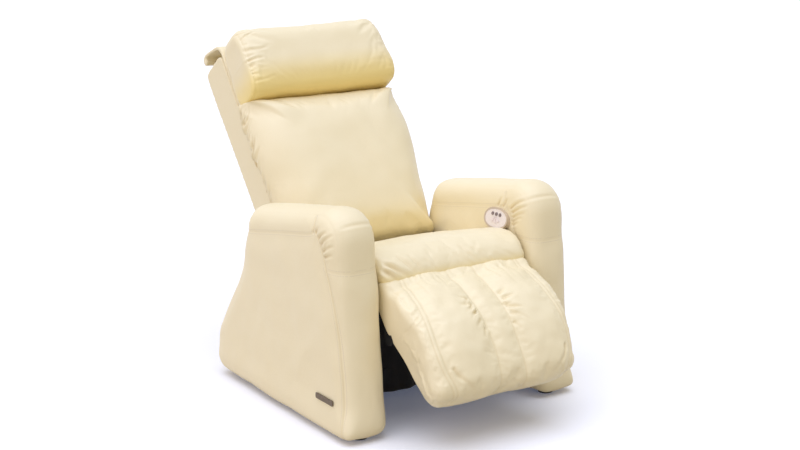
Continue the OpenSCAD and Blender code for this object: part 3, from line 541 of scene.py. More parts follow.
# Seams in (y, z), on the outer face (1), the inner face (-1) or both, and how much they show
ARM_SEAMS = [(1, 0.45, [(0.140, 0.484), (0.088, 0.489), (-0.093, 0.523), (-0.240, 0.547), (-0.266, 0.556)]),
             (1, 1.0, [(-0.258, 0.596), (-0.268, 0.572), (-0.292, 0.544), (-0.316, 0.505), (-0.331, 0.465),
                       (-0.344, 0.430), (-0.362, 0.374), (-0.378, 0.297), (-0.389, 0.218), (-0.398, 0.139),
                       (-0.404, 0.033), (-0.405, 0.005)]),
             (-1, 0.20, [(0.140, 0.484), (0.088, 0.489), (-0.093, 0.520), (-0.225, 0.541), (-0.261, 0.545)]),
             (-1, 0.8, [(-0.252, 0.585), (-0.261, 0.545), (-0.283, 0.531), (-0.291, 0.500), (-0.311, 0.470),
                        (-0.345, 0.400), (-0.370, 0.300), (-0.392, 0.150), (-0.402, 0.010)]),
             (0, 0.30, [(-0.324, 0.469), (-0.355, 0.466), (-0.400, 0.463)])]
ARM_MIDDLE = (ARM_IN + ARM_OUT) / 2
OUTER_PLEATS = [[(-0.264, 0.556), (-0.267, 0.582)], [(-0.276, 0.556), (-0.290, 0.580)],
                [(-0.292, 0.546), (-0.308, 0.560), (-0.328, 0.572)],
                [(-0.304, 0.530), (-0.324, 0.550), (-0.348, 0.566)],
                [(-0.313, 0.514), (-0.334, 0.528), (-0.356, 0.538)],
                [(-0.322, 0.501), (-0.338, 0.508), (-0.354, 0.512)]]
INNER_PLEATS = [[(-0.223, 0.541), (-0.243, 0.574)], [(-0.247, 0.541), (-0.270, 0.573)],
                [(-0.280, 0.541), (-0.308, 0.563), (-0.340, 0.578)],
                [(-0.289, 0.531), (-0.322, 0.552), (-0.352, 0.564)],
                [(-0.290, 0.517), (-0.320, 0.534), (-0.346, 0.542)],
                [(-0.290, 0.505), (-0.316, 0.521), (-0.338, 0.528)],
                [(-0.290, 0.495), (-0.322, 0.512)]]
PLEAT_WIDTH, PLEAT_DEPTH = 0.0042, 0.0044
# The creases over the nose, in (y, z, distance from the chair's middle)
NOSE_CREASES = [[(-0.318, 0.520, 0.400), (-0.345, 0.560, 0.400), (-0.358, 0.580, 0.388),
                 (-0.361, 0.588, 0.350), (-0.360, 0.588, 0.300), (-0.350, 0.583, 0.268),
                 (-0.327, 0.570, 0.252), (-0.305, 0.556, 0.250), (-0.288, 0.541, 0.250)],
                [(-0.330, 0.575, 0.398), (-0.350, 0.590, 0.385), (-0.353, 0.596, 0.340),
                 (-0.352, 0.597, 0.290)]]
NOSE_CREASE_WIDTH, NOSE_CREASE_DEPTHS = 0.0055, (0.0018, 0.0005)
BADGE_PLACE = (-0.320, 0.108, ARM_OUT)
CONTROLLER_PLACE = (-0.230, 0.507, ARM_IN)

rim, outward = rim_of(arm_outline)
pad = ease(rim[:, 1], 0.462, 0.560)
front = ease(-rim[:, 0], 0.25, 0.33)
under = 1 - ease(rim[:, 1], 0.030, 0.090)


def arm_edge(rear, ahead, below, over):
    """A size round the arm's rim, from those behind, in front, underneath and on the pad"""
    return evened(((rear + (ahead - rear) * front) * (1 - under) + below * under) * (1 - pad) + over * pad)


arm = slab("arm_cover_left", arm_outline, ARM_IN, ARM_OUT, SKIN_STEP)
spot = points(arm)
near = nearest_on(rim, spot[:, :2])
outer = roll_rim(spot[:, :2], ARM_OUT - spot[:, 2], rim, outward, near,
                 arm_edge(0.030, 0.060, 0.022, 0.070)[near], arm_edge(0.028, 0.056, 0.020, 0.075)[near],
                 arm_edge(1, 1, 1, 0.88)[near])
inner = roll_rim(outer[0], ARM_OUT - outer[1] - ARM_IN, rim, outward, near,
                 arm_edge(0.018, 0.052, 0.070, 0.070)[near], arm_edge(0.018, 0.048, 0.048, 0.075)[near],
                 arm_edge(1, 1, 1, 0.80)[near])
set_points(arm, np.column_stack((inner[0], ARM_IN + inner[1])))
soften(arm, 6)


def arm_seams(spot):
    """Distances across and along the nearest seam, and how much it shows"""
    found = []
    for side, shows, line in ARM_SEAMS:
        gap, along, _ = to_line(spot[:, :2], line)
        beyond = np.clip(side * (ARM_MIDDLE + side * 0.040 - spot[:, 2]), 0, 1)
        found.append((np.hypot(gap, beyond), along, np.full(len(spot), shows)))
    found = np.array(found)
    return found[found[:, 0].argmin(0), :, np.arange(len(spot))].T


def from_plates(spot):
    """Distance from the badge or the controller, whichever is nearer"""
    return np.minimum(np.linalg.norm(spot - BADGE_PLACE, axis=1),
                      np.linalg.norm(spot - CONTROLLER_PLACE, axis=1))


spot = points(arm)
held = np.maximum(1 - ease(arm_seams(spot)[0], 0.006, 0.030), 1 - ease(from_plates(spot), 0.060, 0.160))
inflate(arm, np.maximum(held, 1 - ease(spot[:, 1], 0.022, 0.060)), ARM_PUFF)
refine(arm)
spot = points(arm)
across, along, shows = arm_seams(spot)
crown = ARM_CROWN * (1 - np.exp(-((across / 0.045) ** 2)))
relief = (crown + unevenness(spot, size=0.11, height=0.0022, seed=2)) * ease(from_plates(spot), 0.050, 0.150)
relief -= ARM_DRAWN_IN * ease(spot[:, 1], 0.05, 0.12)
relief += tuck(across) * shows
# Painted shade along the seams, in the pleats and in the creases over the nose.
fold_shade = 0.26 * np.exp(-((across / SEAM_SHADE_WIDTH) ** 2)) * shows
outside = spot[:, 2] > ARM_MIDDLE
for pleats, chosen in ((OUTER_PLEATS, outside), (INNER_PLEATS, ~outside)):
    for line in pleats:
        cut = furrow(spot[:, :2], line, PLEAT_WIDTH, PLEAT_DEPTH) * chosen
        relief += cut
        fold_shade = np.maximum(fold_shade, -cut / PLEAT_DEPTH * 0.42)
for line, depth in zip(NOSE_CREASES, NOSE_CREASE_DEPTHS):
    cut = furrow(spot, line, NOSE_CREASE_WIDTH, depth, fade=0.5, lips=0.3)
    relief += cut
    fold_shade = np.maximum(fold_shade, -cut / 0.0026 * 0.2)
press(arm, relief)
spot = points(arm)
spot[:, 2] = np.clip(spot[:, 2], ARM_IN - 0.001, ARM_OUT + 0.007)
set_points(arm, spot)

for side, hand in ((-1, "right"), (1, "left")):
    cover = arm
    if hand == "right":
        cover = bpy.data.objects.new("arm_cover_right", arm.data.copy())
        scene.collection.objects.link(cover)
    put(cover, ((0, 1, 0), (0, 0, 1), (side, 0, 0)))
    dress(cover, "base", [f"{part}_{hand}" for part in
                          ("arm_pad", "outer_panel", "inner_panel", "front_band", "rear_band")],
          fold_shade, (across, along))


# Seat cushion. A leather-covered foam slab with a soft roll at its front, gathered at the
# front corners, where the cover is pulled down to the leg rest.

SEAT_TUCKS = [[(-0.358, 0.459, -0.249), (-0.373, 0.442, -0.223), (-0.382, 0.420, -0.200)],
              [(-0.348, 0.467, -0.234), (-0.367, 0.450, -0.200), (-0.380, 0.425, -0.160)],
              [(-0.329, 0.476, -0.184), (-0.360, 0.459, -0.163), (-0.377, 0.436, -0.143)],
              [(-0.352, 0.464, -0.222), (-0.374, 0.440, -0.196), (-0.382, 0.418, -0.182)],
              [(-0.333, 0.475, -0.146), (-0.363, 0.456, -0.132), (-0.380, 0.428, -0.118)],
              [(-0.331, 0.476, 0.026), (-0.358, 0.460, 0.046), (-0.378, 0.434, 0.066)],
              [(-0.342, 0.472, 0.058), (-0.367, 0.450, 0.091), (-0.380, 0.426, 0.110)]]
SEAT_TUCK_DEPTHS = [0.0062, 0.0056, 0.0036, 0.0040, 0.0024, 0.0014, 0.0014]
seat_outline = [(0.038, 0.308), (0.038, 0.407), (0.0, 0.417), (-0.148, 0.4530), (-0.235, 0.4760),
                (-0.280, 0.4825), (-0.312, 0.4815), (-0.340, 0.4730), (-0.361, 0.4580), (-0.376, 0.4390),
                (-0.382, 0.4190),
                (-0.377, 0.4020), (-0.360, 0.3960), (-0.303, 0.3960), (-0.303, 0.3684)]
SEAT_HALF = 0.2475
SEAT_TUCK_WIDTH = 0.0070
SEAT_CROWN, SEAT_PUFF = 0.006, 0.008
rim, outward = rim_of(seat_outline)
seat = slab("seat_cushion_cover", seat_outline, -SEAT_HALF, SEAT_HALF, SKIN_STEP)
reach = evened(0.016 + 0.020 * ease(-rim[:, 0], 0.31, 0.37))
spot = round_ends(seat, SEAT_HALF, rim, outward, reach, reach, 1)
spot[:, 1] += SEAT_CROWN * ease(spot[:, 1], 0.40, 0.43) * (1 - (spot[:, 2] / SEAT_HALF) ** 2)
set_points(seat, spot)
soften(seat, 4)
spot = points(seat)
held = np.maximum(1 - ease(spot[:, 1], 0.330, 0.380), ease(spot[:, 0], -0.02, 0.02))
inflate(seat, held, SEAT_PUFF, slack=0.015)
refine(seat)
spot = points(seat)
relief = unevenness(spot, size=0.10, height=0.003, seed=11)
# Painted shade in the tucks at the front corners.
fold_shade = np.zeros(len(spot))
for line, depth in zip(SEAT_TUCKS, SEAT_TUCK_DEPTHS):
    cut = furrow(spot, line, SEAT_TUCK_WIDTH, depth, fade=0.6, lips=0.5, start=0.2)
    relief += cut
    fold_shade = np.maximum(fold_shade, -cut / 0.006 * 0.38)
ahead = ease(-spot[:, 0], 0.30, 0.36)
across_face = np.column_stack((spot[:, 2], spot[:, 1] - 0.4 * spot[:, 0]))
relief += ahead * crinkles(across_face, 13, 16, ((-0.15, 0.612), (0.24, 0.600)), -40, (0.03, 0.07),
                           0.0012, 0.3)
# Painted shade underneath the front roll.
under = 0.55 * ease(-spot[:, 0], 0.33, 0.37) * (1 - ease(spot[:, 1], 0.400, 0.448))
press(seat, relief)
spot = points(seat)
spot[:, 2] = np.clip(spot[:, 2], -SEAT_HALF, SEAT_HALF)
set_points(seat, spot)
put(seat, ((0, 1, 0), (0, 0, 1), (1, 0, 0)))
dress(seat, "base", ["seat_cushion"], fold_shade, under=under)


# Back cushion. A broad, deep leather cushion, sewn to the back's side bands, where its cover
# gathers into short slanting folds. It leans back with the back; its lower end meets the seat.

BACK_TILT = math.radians(37)
BACK_PIVOT = (0.0, 0.145, 0.382)
UP_BACK = (0.0, math.sin(BACK_TILT), math.cos(BACK_TILT))
OUT_BACK = (0.0, -math.cos(BACK_TILT), math.sin(BACK_TILT))
BACK_N0, BACK_DEPTH = 0.014, 0.130
CUSHION_SIDE = 0.287
BETWEEN_ARMS, BULGE = 0.2475, 0.047
CUSHION_MIDDLE, CUSHION_PUFF = 0.27, 0.010
# Seed, count, the edge where they start, heading in degrees, lengths and depth
BACK_GATHERS = [(23, 34, ((0.042, 0.260), (0.042, 0.450)), 50, (0.040, 0.100), 0.0054),
                (27, 16, ((0.042, 0.110), (0.042, 0.270)), 46, (0.025, 0.060), 0.0034)]
half_outline = [*arc((0.222, 0.008), 0.036, 270, 360), (0.261, 0.110), (0.267, 0.180), (0.280, 0.245),
                (0.291, 0.310), (0.294, 0.370), (0.289, 0.430), *arc((0.270, 0.474), 0.012, 0, 90)]
back_outline = [*half_outline, *[(-u, v) for u, v in reversed(half_outline)]]
rim, outward = rim_of(back_outline)
cushion = slab("back_cushion_cover", back_outline, BACK_N0, BACK_N0 + BACK_DEPTH, SKIN_STEP)
spot = points(cushion)
near = nearest_on(rim, spot[:, :2])
sides = ease(np.abs(outward[:, 0]), 0.3, 0.9)
top = (1 - sides) * (rim[:, 1] > 0.2)
foot = (1 - sides) * (rim[:, 1] < 0.2)
reach = evened(0.200 * sides + 0.070 * top + 0.050 * foot)[near]
fall = evened(0.122 * sides + 0.060 * top + 0.060 * foot)[near]
flat, drop = roll_rim(spot[:, :2], BACK_N0 + BACK_DEPTH - spot[:, 2], rim, outward, near, reach, fall, 0.74)
lift = BACK_DEPTH - drop
lift *= 1.10 - 0.26 * np.abs((flat[:, 1] - CUSHION_MIDDLE) / CUSHION_MIDDLE) ** 2.2
half_width = BETWEEN_ARMS + BULGE * ease(lift, 0.0, 0.070)
flat[:, 0] = np.sign(flat[:, 0]) * np.minimum(np.abs(flat[:, 0]), half_width)
set_points(cushion, np.column_stack((flat, BACK_N0 + lift)))
soften(cushion, 6)
soften(cushion, 70, where=ease(points(cushion)[:, 2], 0.045, 0.090))
spot = points(cushion)
held = 1 - ease(spot[:, 2], 0.018, 0.036)
inflate(cushion, held, CUSHION_PUFF, slack=0.005)
refine(cushion)
spot = points(cushion)
relief = unevenness(spot, size=0.13, height=0.004, seed=21) * ease(spot[:, 2], 0.03, 0.08)
fold_shade = np.zeros(len(spot))
for side in (-1, 1):
    inward = spot[:, 2] - BACK_N0 + CUSHION_SIDE - np.abs(spot[:, 0])
    from_band = np.column_stack((inward, spot[:, 1]))
    gathers = np.zeros(len(spot))
    for seed, count, edge, heading, lengths, depth in BACK_GATHERS:
        gathers += crinkles(from_band, seed + side, count, edge, heading, lengths, depth, 0.06)
    gathers = np.maximum(gathers, -0.006) * (side * spot[:, 0] > 0)
    relief += gathers
    # Painted shade in the gathers.
    fold_shade = np.maximum(fold_shade, np.clip(-gathers / 0.0040, 0, 1) * 0.40)
# Painted shade round the cushion's base, where it meets the back and its bands.
fold_shade = np.maximum(fold_shade, 0.35 * (1 - ease(spot[:, 2], BACK_N0 + 0.004, BACK_N0 + 0.016)))
press(cushion, relief)
put(cushion, ((1, 0, 0), UP_BACK, OUT_BACK), BACK_PIVOT)
# Painted shade towards the cushion's lower end, by the seat.
dress(cushion, "backrest", ["back_cushion"], fold_shade,
      under=0.25 * (1 - ease(points(cushion)[:, 2], 0.43, 0.56)))


# Head pillow. A loose leather bolster with gathered ends, hung from the strap over the back.

PILLOW_HALF, PILLOW_PUFF = 0.258, 0.006
PILLOW_UP, PILLOW_OUT = 0.590, 0.107
PILLOW_HANG, PILLOW_SHRINK, PILLOW_ASKEW = 0.592, 0.965, 0.030
pillow_outline = [(PILLOW_UP + 0.121 * math.copysign(abs(math.cos(a)) ** 0.55, math.cos(a)),
                   PILLOW_OUT + 0.072 * math.copysign(abs(math.sin(a)) ** 0.60, math.sin(a)))
                  for a in np.linspace(0, 2 * math.pi, 61)[:-1]]
rim, outward = rim_of(pillow_outline)
pillow = slab("head_pillow_cover", pillow_outline, -PILLOW_HALF, PILLOW_HALF, SKIN_STEP)
round_end = evened(0.010 + 0.018 * ease(rim[:, 0], 0.50, 0.60) + 0.012 * ease(rim[:, 0], 0.62, 0.70))
inward = round_end * (1 + 0.9 * evened(ease(rim[:, 1], 0.13, 0.165)))
set_points(pillow, round_ends(pillow, PILLOW_HALF, rim, outward, round_end, inward, 0.9))
soften(pillow, 4)
spot = points(pillow)
from_end = PILLOW_HALF - np.abs(spot[:, 2])
held = np.maximum(1 - ease(spot[:, 1], 0.040, 0.058), 1 - ease(from_end, 0.010, 0.030))
inflate(pillow, np.maximum(held, 1 - ease(spot[:, 0], 0.475, 0.510)), PILLOW_PUFF, slack=0.01)
refine(pillow)
spot = points(pillow)
relief = unevenness(spot, size=0.12, height=0.0035, seed=31) * ease(spot[:, 1], 0.045, 0.09)
fold_shade = np.zeros(len(spot))
facing = ease(spot[:, 1], 0.060, 0.090)
across_face = spot[:, [2, 0]]
end_seam = PILLOW_HALF - 0.010 - np.abs(spot[:, 2])
relief += tuck(end_seam, 0.0016) * facing
for side, heading in ((-1, 0), (1, 180)):
    edge = ((side * 0.254, 0.500), (side * 0.252, 0.690))
    gathers = crinkles(across_face, 33 + side, 11, edge, heading, (0.035, 0.100), 0.0017, 0.04)
    gathers += crinkles(across_face, 37 + side, 10, edge, heading, (0.012, 0.030), 0.0013, 0.04)
    gathers *= facing * (0.8 - 0.35 * side)
    relief += gathers
    # Painted shade in the gathers.
    fold_shade = np.maximum(fold_shade, np.clip(-gathers / 0.0022, 0, 1) * 0.28)
# Painted shade over the pillow's underside.
under = 0.66 * (1 - ease(spot[:, 0], 0.472, 0.590))
press(pillow, relief)
spot = points(pillow)
spot[:, 0] = PILLOW_HANG + (spot[:, 0] - PILLOW_UP) * PILLOW_SHRINK + PILLOW_ASKEW * spot[:, 2]
set_points(pillow, spot)
put(pillow, (UP_BACK, OUT_BACK, (1, 0, 0)), BACK_PIVOT)
dress(pillow, "pillow", ["head_pillow"], fold_shade, under=under)


# Back shell. Thin padded leather over the back's frame: two side bands, a top band and a rear
# cover, stapled to the frame and a little fuller towards the rear and the top.

WELD = 2e-5


def skin(node, step):
    """An even closed skin over a solid of the chair, its edges rounded by smoothing"""
    form = bmesh.new()
    form.from_mesh(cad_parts[node].data)
    bmesh.ops.remove_doubles(form, verts=form.verts, dist=WELD)
    piece = new_piece(node + "_cover", form)
    remesh(piece, step)
    soften(piece, 3)
    return piece


def in_back(spot):
    """How far up and out each point is in the back's own frame"""
    return (spot - BACK_PIVOT) @ np.array(UP_BACK), (spot - BACK_PIVOT) @ np.array(OUT_BACK)


for node, step in (("back_band_left", 0.005), ("back_band_right", 0.005), ("back_top_band", 0.004),
                   ("back_cover", 0.006)):
    panel = skin(node, step)
    spot = points(panel)
    up, out = in_back(spot)
    fuller = 0.013 * ease(up, 0.15, 0.65) * (1 - ease(out, -0.085, -0.02))
    fuller += np.clip(out - 0.040, 0, 1) * (1 - ease(up, 0.10, 0.14))
    set_points(panel, spot - fuller[:, None] * np.array(OUT_BACK))
    dress(panel, "backrest", [node])


# Pillow strap. A broad padded leather flap: it lines the back behind the pillow, runs over the
# top of the back and ends in a loose curl behind it.

STRAP_PATH = [(0.440, 0.020), (0.560, 0.020), (0.660, 0.021), (0.690, 0.022), (0.706, 0.017), (0.718, 0.004),
              (0.726, -0.016), (0.733, -0.042), (0.739, -0.066), (0.742, -0.086), (0.739, -0.098),
              (0.731, -0.104), (0.722, -0.102), (0.719, -0.094), (0.724, -0.088), (0.730, -0.089)]
STRAP_THICK, STRAP_HALF, STRAP_STEP = 0.010, 0.2440, 0.0035
path = np.array(STRAP_PATH)
run = np.concatenate(([0], np.cumsum(np.linalg.norm(np.diff(path, axis=0), axis=1))))
ticks = np.linspace(0, run[-1], 90)
path = np.stack([np.interp(ticks, run, path[:, k]) for k in (0, 1)], 1)
path[1:-1] = (path[:-2] + path[1:-1] + path[2:]) / 3
way = np.gradient(path, axis=0)
way = np.stack((-way[:, 1], way[:, 0]), 1) / np.linalg.norm(way, axis=1, keepdims=True) * STRAP_THICK / 2
strap = slab("pillow_strap_cover", [*(path + way), *(path - way)[::-1]],
             -STRAP_HALF, STRAP_HALF, STRAP_STEP)
soften(strap, 3)
spot = points(strap)
over_top = ease(np.abs(spot[:, 0] - 0.715), 0.05, 0.0)
press(strap, unevenness(spot, size=0.09, height=0.0025, seed=51) * over_top)
put(strap, (UP_BACK, OUT_BACK, (1, 0, 0)), BACK_PIVOT)
dress(strap, "backrest", ["pillow_strap"])


# Leg rest pad. Two calf cushions of gathered leather with a plain strip between them and a
# gusset round each side, sewn together and pulled down at the seams.

LEG_TILT = math.radians(38)
LEG_PIVOT = (0.0, -0.365, 0.380)
DOWN_LEG = (0.0, -math.sin(LEG_TILT), -math.cos(LEG_TILT))
OUT_LEG = (0.0, -math.cos(LEG_TILT), math.sin(LEG_TILT))
LEG_HALF, LEG_SHIFT, LEG_PUFF = 0.2460, 0.0070, 0.010
STRIP_HALF, CALF_WIDTH, CALF_CROWN = 0.043, 0.155, 0.007
# Seams in (distance from the middle, distance down)
LEG_SEAMS = [[(0.044, -0.06), (0.043, 0.06), (0.040, 0.17), (0.039, 0.27), (0.042, 0.36)],
             [(0.196, -0.06), (0.203, 0.02), (0.211, 0.10), (0.222, 0.18), (0.222, 0.25), (0.204, 0.31),
              (0.184, 0.36)],
             [(0.185, -0.06), (0.191, 0.02), (0.199, 0.10), (0.210, 0.18), (0.210, 0.25), (0.193, 0.31),
              (0.174, 0.36)]]
LEG_FOLDS = [[(0.190, 0.262), (0.178, 0.290), (0.152, 0.316), (0.128, 0.330)],
             [(0.050, 0.085), (0.082, 0.068)], [(0.050, 0.104), (0.096, 0.096)],
             [(0.048, 0.126), (0.084, 0.134)], [(0.048, 0.150), (0.078, 0.172)],
             [(0.046, 0.176), (0.062, 0.205)]]
LEG_FOLD_WIDTH, LEG_FOLD_DEPTH = 0.0050, 0.0034
# Seed, count, start and end of the edge where they start, slant towards the sides in degrees,
# lengths, depth and how slowly they grow
LEG_GATHERS = [(43, 6, (0.050, 0.080), (0.047, 0.160), 62, (0.022, 0.065), 0.0030, 0.12),
               (51, 8, (0.055, -0.046), (0.185, -0.046), 8, (0.05, 0.13), 0.0017, 0.3),
               (55, 4, (0.205, 0.05), (0.215, 0.15), 60, (0.02, 0.05), 0.0014, 0.3)]
leg_outline = [(0.315, -0.026), (0.300, -0.034), (0.220, -0.042), (0.120, -0.045), (0.046, -0.045),
               *arc((0, 0), 0.046, 270, 90),
               (0.020, 0.066), (0.045, 0.079), (0.075, 0.093), (0.110, 0.106), (0.150, 0.116), (0.190, 0.119),
               (0.230, 0.117), (0.262, 0.111), *arc((0.292, 0.062), 0.042, 80, 0), (0.334, 0.010),
               (0.328, -0.012)]
rim, outward = rim_of(leg_outline)
leg = slab("leg_rest_cover", leg_outline, -LEG_HALF, LEG_HALF, SKIN_STEP)
lower = evened(ease(rim[:, 0], 0.20, 0.30))
ahead = np.maximum(evened(ease(rim[:, 1], 0.0, 0.03)), lower)
reach = 0.012 + (0.014 + 0.024 * lower) * ahead
fall = 0.012 + (0.024 + 0.008 * lower) * ahead
spot = round_ends(leg, LEG_HALF, rim, outward, reach, fall, 1)
width = np.abs(spot[:, 2])
calf = np.sin(np.pi * np.clip((width - STRIP_HALF) / CALF_WIDTH, 0, 1)) ** 0.7
facing = ease(spot[:, 1], 0.03, 0.07)
spot[:, 1] += (CALF_CROWN * calf - 0.003) * facing
spot[:, 0] += ease(spot[:, 0], 0.26, 0.33) * 0.004 * calf
taper = 0.030 + 0.070 * ease(-spot[:, 1], -0.07, 0.03)
spot[:, 2] *= 1 - taper * ease(spot[:, 0], 0.07, 0.22)
spot[:, 2] -= LEG_SHIFT * ease(spot[:, 0], 0.15, 0.33)
set_points(leg, spot)
soften(leg, 4)


def leg_seams(spot):
    return nearest_line(np.column_stack((np.abs(spot[:, 2]), spot[:, 0])), LEG_SEAMS)


spot = points(leg)
facing = ease(spot[:, 1], 0.02, 0.05)
held = np.maximum((1 - ease(leg_seams(spot)[0], 0.004, 0.012)) * facing, 1 - ease(spot[:, 1], 0.0, 0.03))
inflate(leg, np.maximum(held, ease(np.abs(spot[:, 2]), 0.236, 0.242)), LEG_PUFF, slack=0.02)
refine(leg)
spot = points(leg)
facing = ease(spot[:, 1], 0.02, 0.05)
mirrored = np.column_stack((np.abs(spot[:, 2]), spot[:, 0]))
across, along = leg_seams(spot)
relief = (unevenness(spot, size=0.07, height=0.004, seed=41) + tuck(across, 0.0014)) * facing
# Painted shade along the seams, in the folds and in the gathers.
fold_shade = 0.20 * np.exp(-((across / SEAM_SHADE_WIDTH) ** 2)) * facing
for line in LEG_FOLDS:
    cut = furrow(mirrored, line, LEG_FOLD_WIDTH, LEG_FOLD_DEPTH) * facing
    relief += cut
    fold_shade = np.maximum(fold_shade, -cut / LEG_FOLD_DEPTH * 0.3)
face = spot[:, [2, 0]]
for side in (-1, 1):
    gathers = np.zeros(len(spot))
    for seed, count, start, end, slant, lengths, depth, growth in LEG_GATHERS:
        edge = ((side * start[0], start[1]), (side * end[0], end[1]))
        gathers += crinkles(face, seed + side, count, edge, 90 - side * slant, lengths, depth, growth)
    gathers = np.maximum(gathers, -0.0040) * facing
    relief += gathers
    fold_shade = np.maximum(fold_shade, np.clip(-gathers / 0.0040, 0, 1) * 0.22)
press(leg, relief)
put(leg, (DOWN_LEG, OUT_LEG, (1, 0, 0)), LEG_PIVOT)
dress(leg, "leg_rest", ["leg_pad", "leg_board"], fold_shade)


# Skirt. Heavy black cloth, woven, stapled along the seat's front rail and hanging slack in
# shallow waves to hide the works.

def surface_group():
    """Fine relief and slow drifts about 0.5, for moulded, painted and metal surfaces"""
    group, given, made = node_group("fine_surface", [("Fineness", 900.0), ("Patches", 12.0)],
                                    ["Relief", "Drift", "Scuffs"])
    place = add(group, "TexCoord").outputs["Object"]
    feed(group, made.inputs["Relief"], noise_of(group, place, given.outputs["Fineness"], 2))
    feed(group, made.inputs["Drift"], noise_of(group, place, given.outputs["Patches"], 4, 0.6))
    scuffs = noise_of(group, place, calc(group, "MULTIPLY", given.outputs["Patches"], 7.0), 5, 0.7)
    feed(group, made.inputs["Scuffs"], calc(group, "MULTIPLY", calc(group, "SUBTRACT", scuffs, 0.56), 9.0))
    return group


fine_surface = surface_group()
DRIFT_SHARE, SCUFF_SHARE = 0.6, 0.12


def surfaced(name, colour, drift_colour, roughness, spread, fineness, depth, patches=12.0, **constants):
    """A moulded, painted or metal finish: two tones, uneven gloss and a fine relief"""
    material, tree, shader = new_material(name, **constants)
    surface = use_group(tree, fine_surface, Fineness=fineness, Patches=patches)
    tone = mix_colour(tree, surface["Drift"], colour, drift_colour)
    feed(tree, shader.inputs["Base Color"], tone)
    scuffs = calc(tree, "MULTIPLY", surface["Scuffs"], SCUFF_SHARE)
    uneven = calc(tree, "ADD", calc(tree, "MULTIPLY", surface["Drift"], DRIFT_SHARE), scuffs)
    rough(tree, shader, uneven, spread, roughness)
    bump(tree, shader, surface["Relief"], 0.4, depth)
    return material


def finish(material, *nodes):
    for node in nodes:
        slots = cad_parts[node].data.materials
        slots.clear()
        slots.append(material)


black_cloth, tree, shader = new_material("black_cloth", Sheen_Weight=0.25, Specular_IOR_Level=0.2,
                                         Roughness=0.9)
place = add(tree, "TexCoord").outputs["Object"]
THREADS = 320.0
warp, weft = [add(tree, "TexWave", wave_type="BANDS", bands_direction=way) for way in ("X", "Z")]
for threads in (warp, weft):
    threads.inputs["Scale"].default_value = THREADS
    threads.inputs["Distortion"].default_value = 0.6
    tree.links.new(place, threads.inputs["Vector"])
weave = calc(tree, "MAXIMUM", warp.outputs["Fac"], weft.outputs["Fac"])
weave_colour = mix_colour(tree, weave, (0.016, 0.017, 0.023, 1), (0.030, 0.032, 0.045, 1))
feed(tree, shader.inputs["Base Color"], weave_colour)
bump(tree, shader, weave, strength=0.5, distance=0.0006)

SKIRT_Y, SKIRT_LOW, SKIRT_HIGH, SKIRT_HALF = -0.189, 0.028, 0.308, 0.249
cloth = bmesh.new()
bmesh.ops.create_grid(cloth, x_segments=90, y_segments=44, size=0.5)
for point in cloth.verts:
    across, height = point.co.x * 2 * SKIRT_HALF, point.co.y + 0.5
    slack = 1 - height
    sway = 0.006 * math.sin(across * 47 + 1.2 * slack) + 0.003 * math.sin(across * 101 + 2.0)
    point.co = (across, SKIRT_Y + sway * slack, SKIRT_LOW + height * (SKIRT_HIGH - SKIRT_LOW))
skirt = new_piece("front_skirt_cloth", cloth)
thick = skirt.modifiers.new("thick", "SOLIDIFY")
thick.thickness = 0.0012
skirt.data.polygons.foreach_set("use_smooth", np.ones(len(skirt.data.polygons), bool))
skirt.data.materials.append(black_cloth)
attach(skirt, "base")
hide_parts("front_skirt")


# Steelwork. Welded tube and plate in dark grey powder coat, with a faint orange peel; ground
# and polished rods, screw and rails; pins of the same coated steel.

powder_coat = surfaced("powder_coat", (0.015, 0.016, 0.019, 1), (0.011, 0.012, 0.014, 1),
                       roughness=0.50, spread=0.25, fineness=700.0, depth=0.0005, Specular_IOR_Level=0.2)
finish(powder_coat, "seat_rails", "cross_tubes", "back_frame", "leg_frame")
PIN_END = 0.2440
pins = bmesh.new()
pins.from_mesh(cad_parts["pivot_pins"].data)
bmesh.ops.remove_doubles(pins, verts=pins.verts, dist=WELD)
for side in (-1, 1):
    cut = bmesh.ops.bisect_plane(pins, geom=[*pins.verts, *pins.edges, *pins.faces],
                                 plane_co=(side * PIN_END, 0, 0), plane_no=(side, 0, 0), clear_outer=True)
    ring = [edge for edge in cut["geom_cut"] if isinstance(edge, bmesh.types.BMEdge)]
    bmesh.ops.holes_fill(pins, edges=ring)
pin_set = new_piece("pivot_pin_set", pins)
pin_set.data.materials.clear()
pin_set.data.materials.append(powder_coat)
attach(pin_set, "base")
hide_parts("pivot_pins")
ground_steel = surfaced("ground_steel", (0.66, 0.67, 0.69, 1), (0.58, 0.59, 0.61, 1),
                        roughness=0.14, spread=0.22, fineness=1500.0, depth=0.0001,
                        patches=30.0, Metallic=1.0)
finish(ground_steel, "guide_rails", "lead_screw", "back_rod", "leg_rod")
cast_aluminium = surfaced("cast_aluminium", (0.60, 0.60, 0.61, 1), (0.47, 0.47, 0.48, 1),
                          roughness=0.36, spread=0.30, fineness=480.0, depth=0.0006,
                          patches=20.0, Metallic=1.0)
finish(cast_aluminium, "carriage", "knead_arm_left", "knead_arm_right")


# Woodwork. Raw birch plywood arm sides and seat deck, cut flat and screwed to the steelwork under
# the upholstery.

def drawn_noise(tree, squeeze, scale, detail, roughness=0.5):
    """Noise drawn out along y, for wood figure and brushing"""
    stretch = add(tree, "Mapping")
    stretch.inputs["Scale"].default_value = (1.0, squeeze, 1.0)
    feed(tree, stretch.inputs["Vector"], add(tree, "TexCoord").outputs["Object"])
    return noise_of(tree, stretch.outputs["Vector"], scale, detail, roughness)


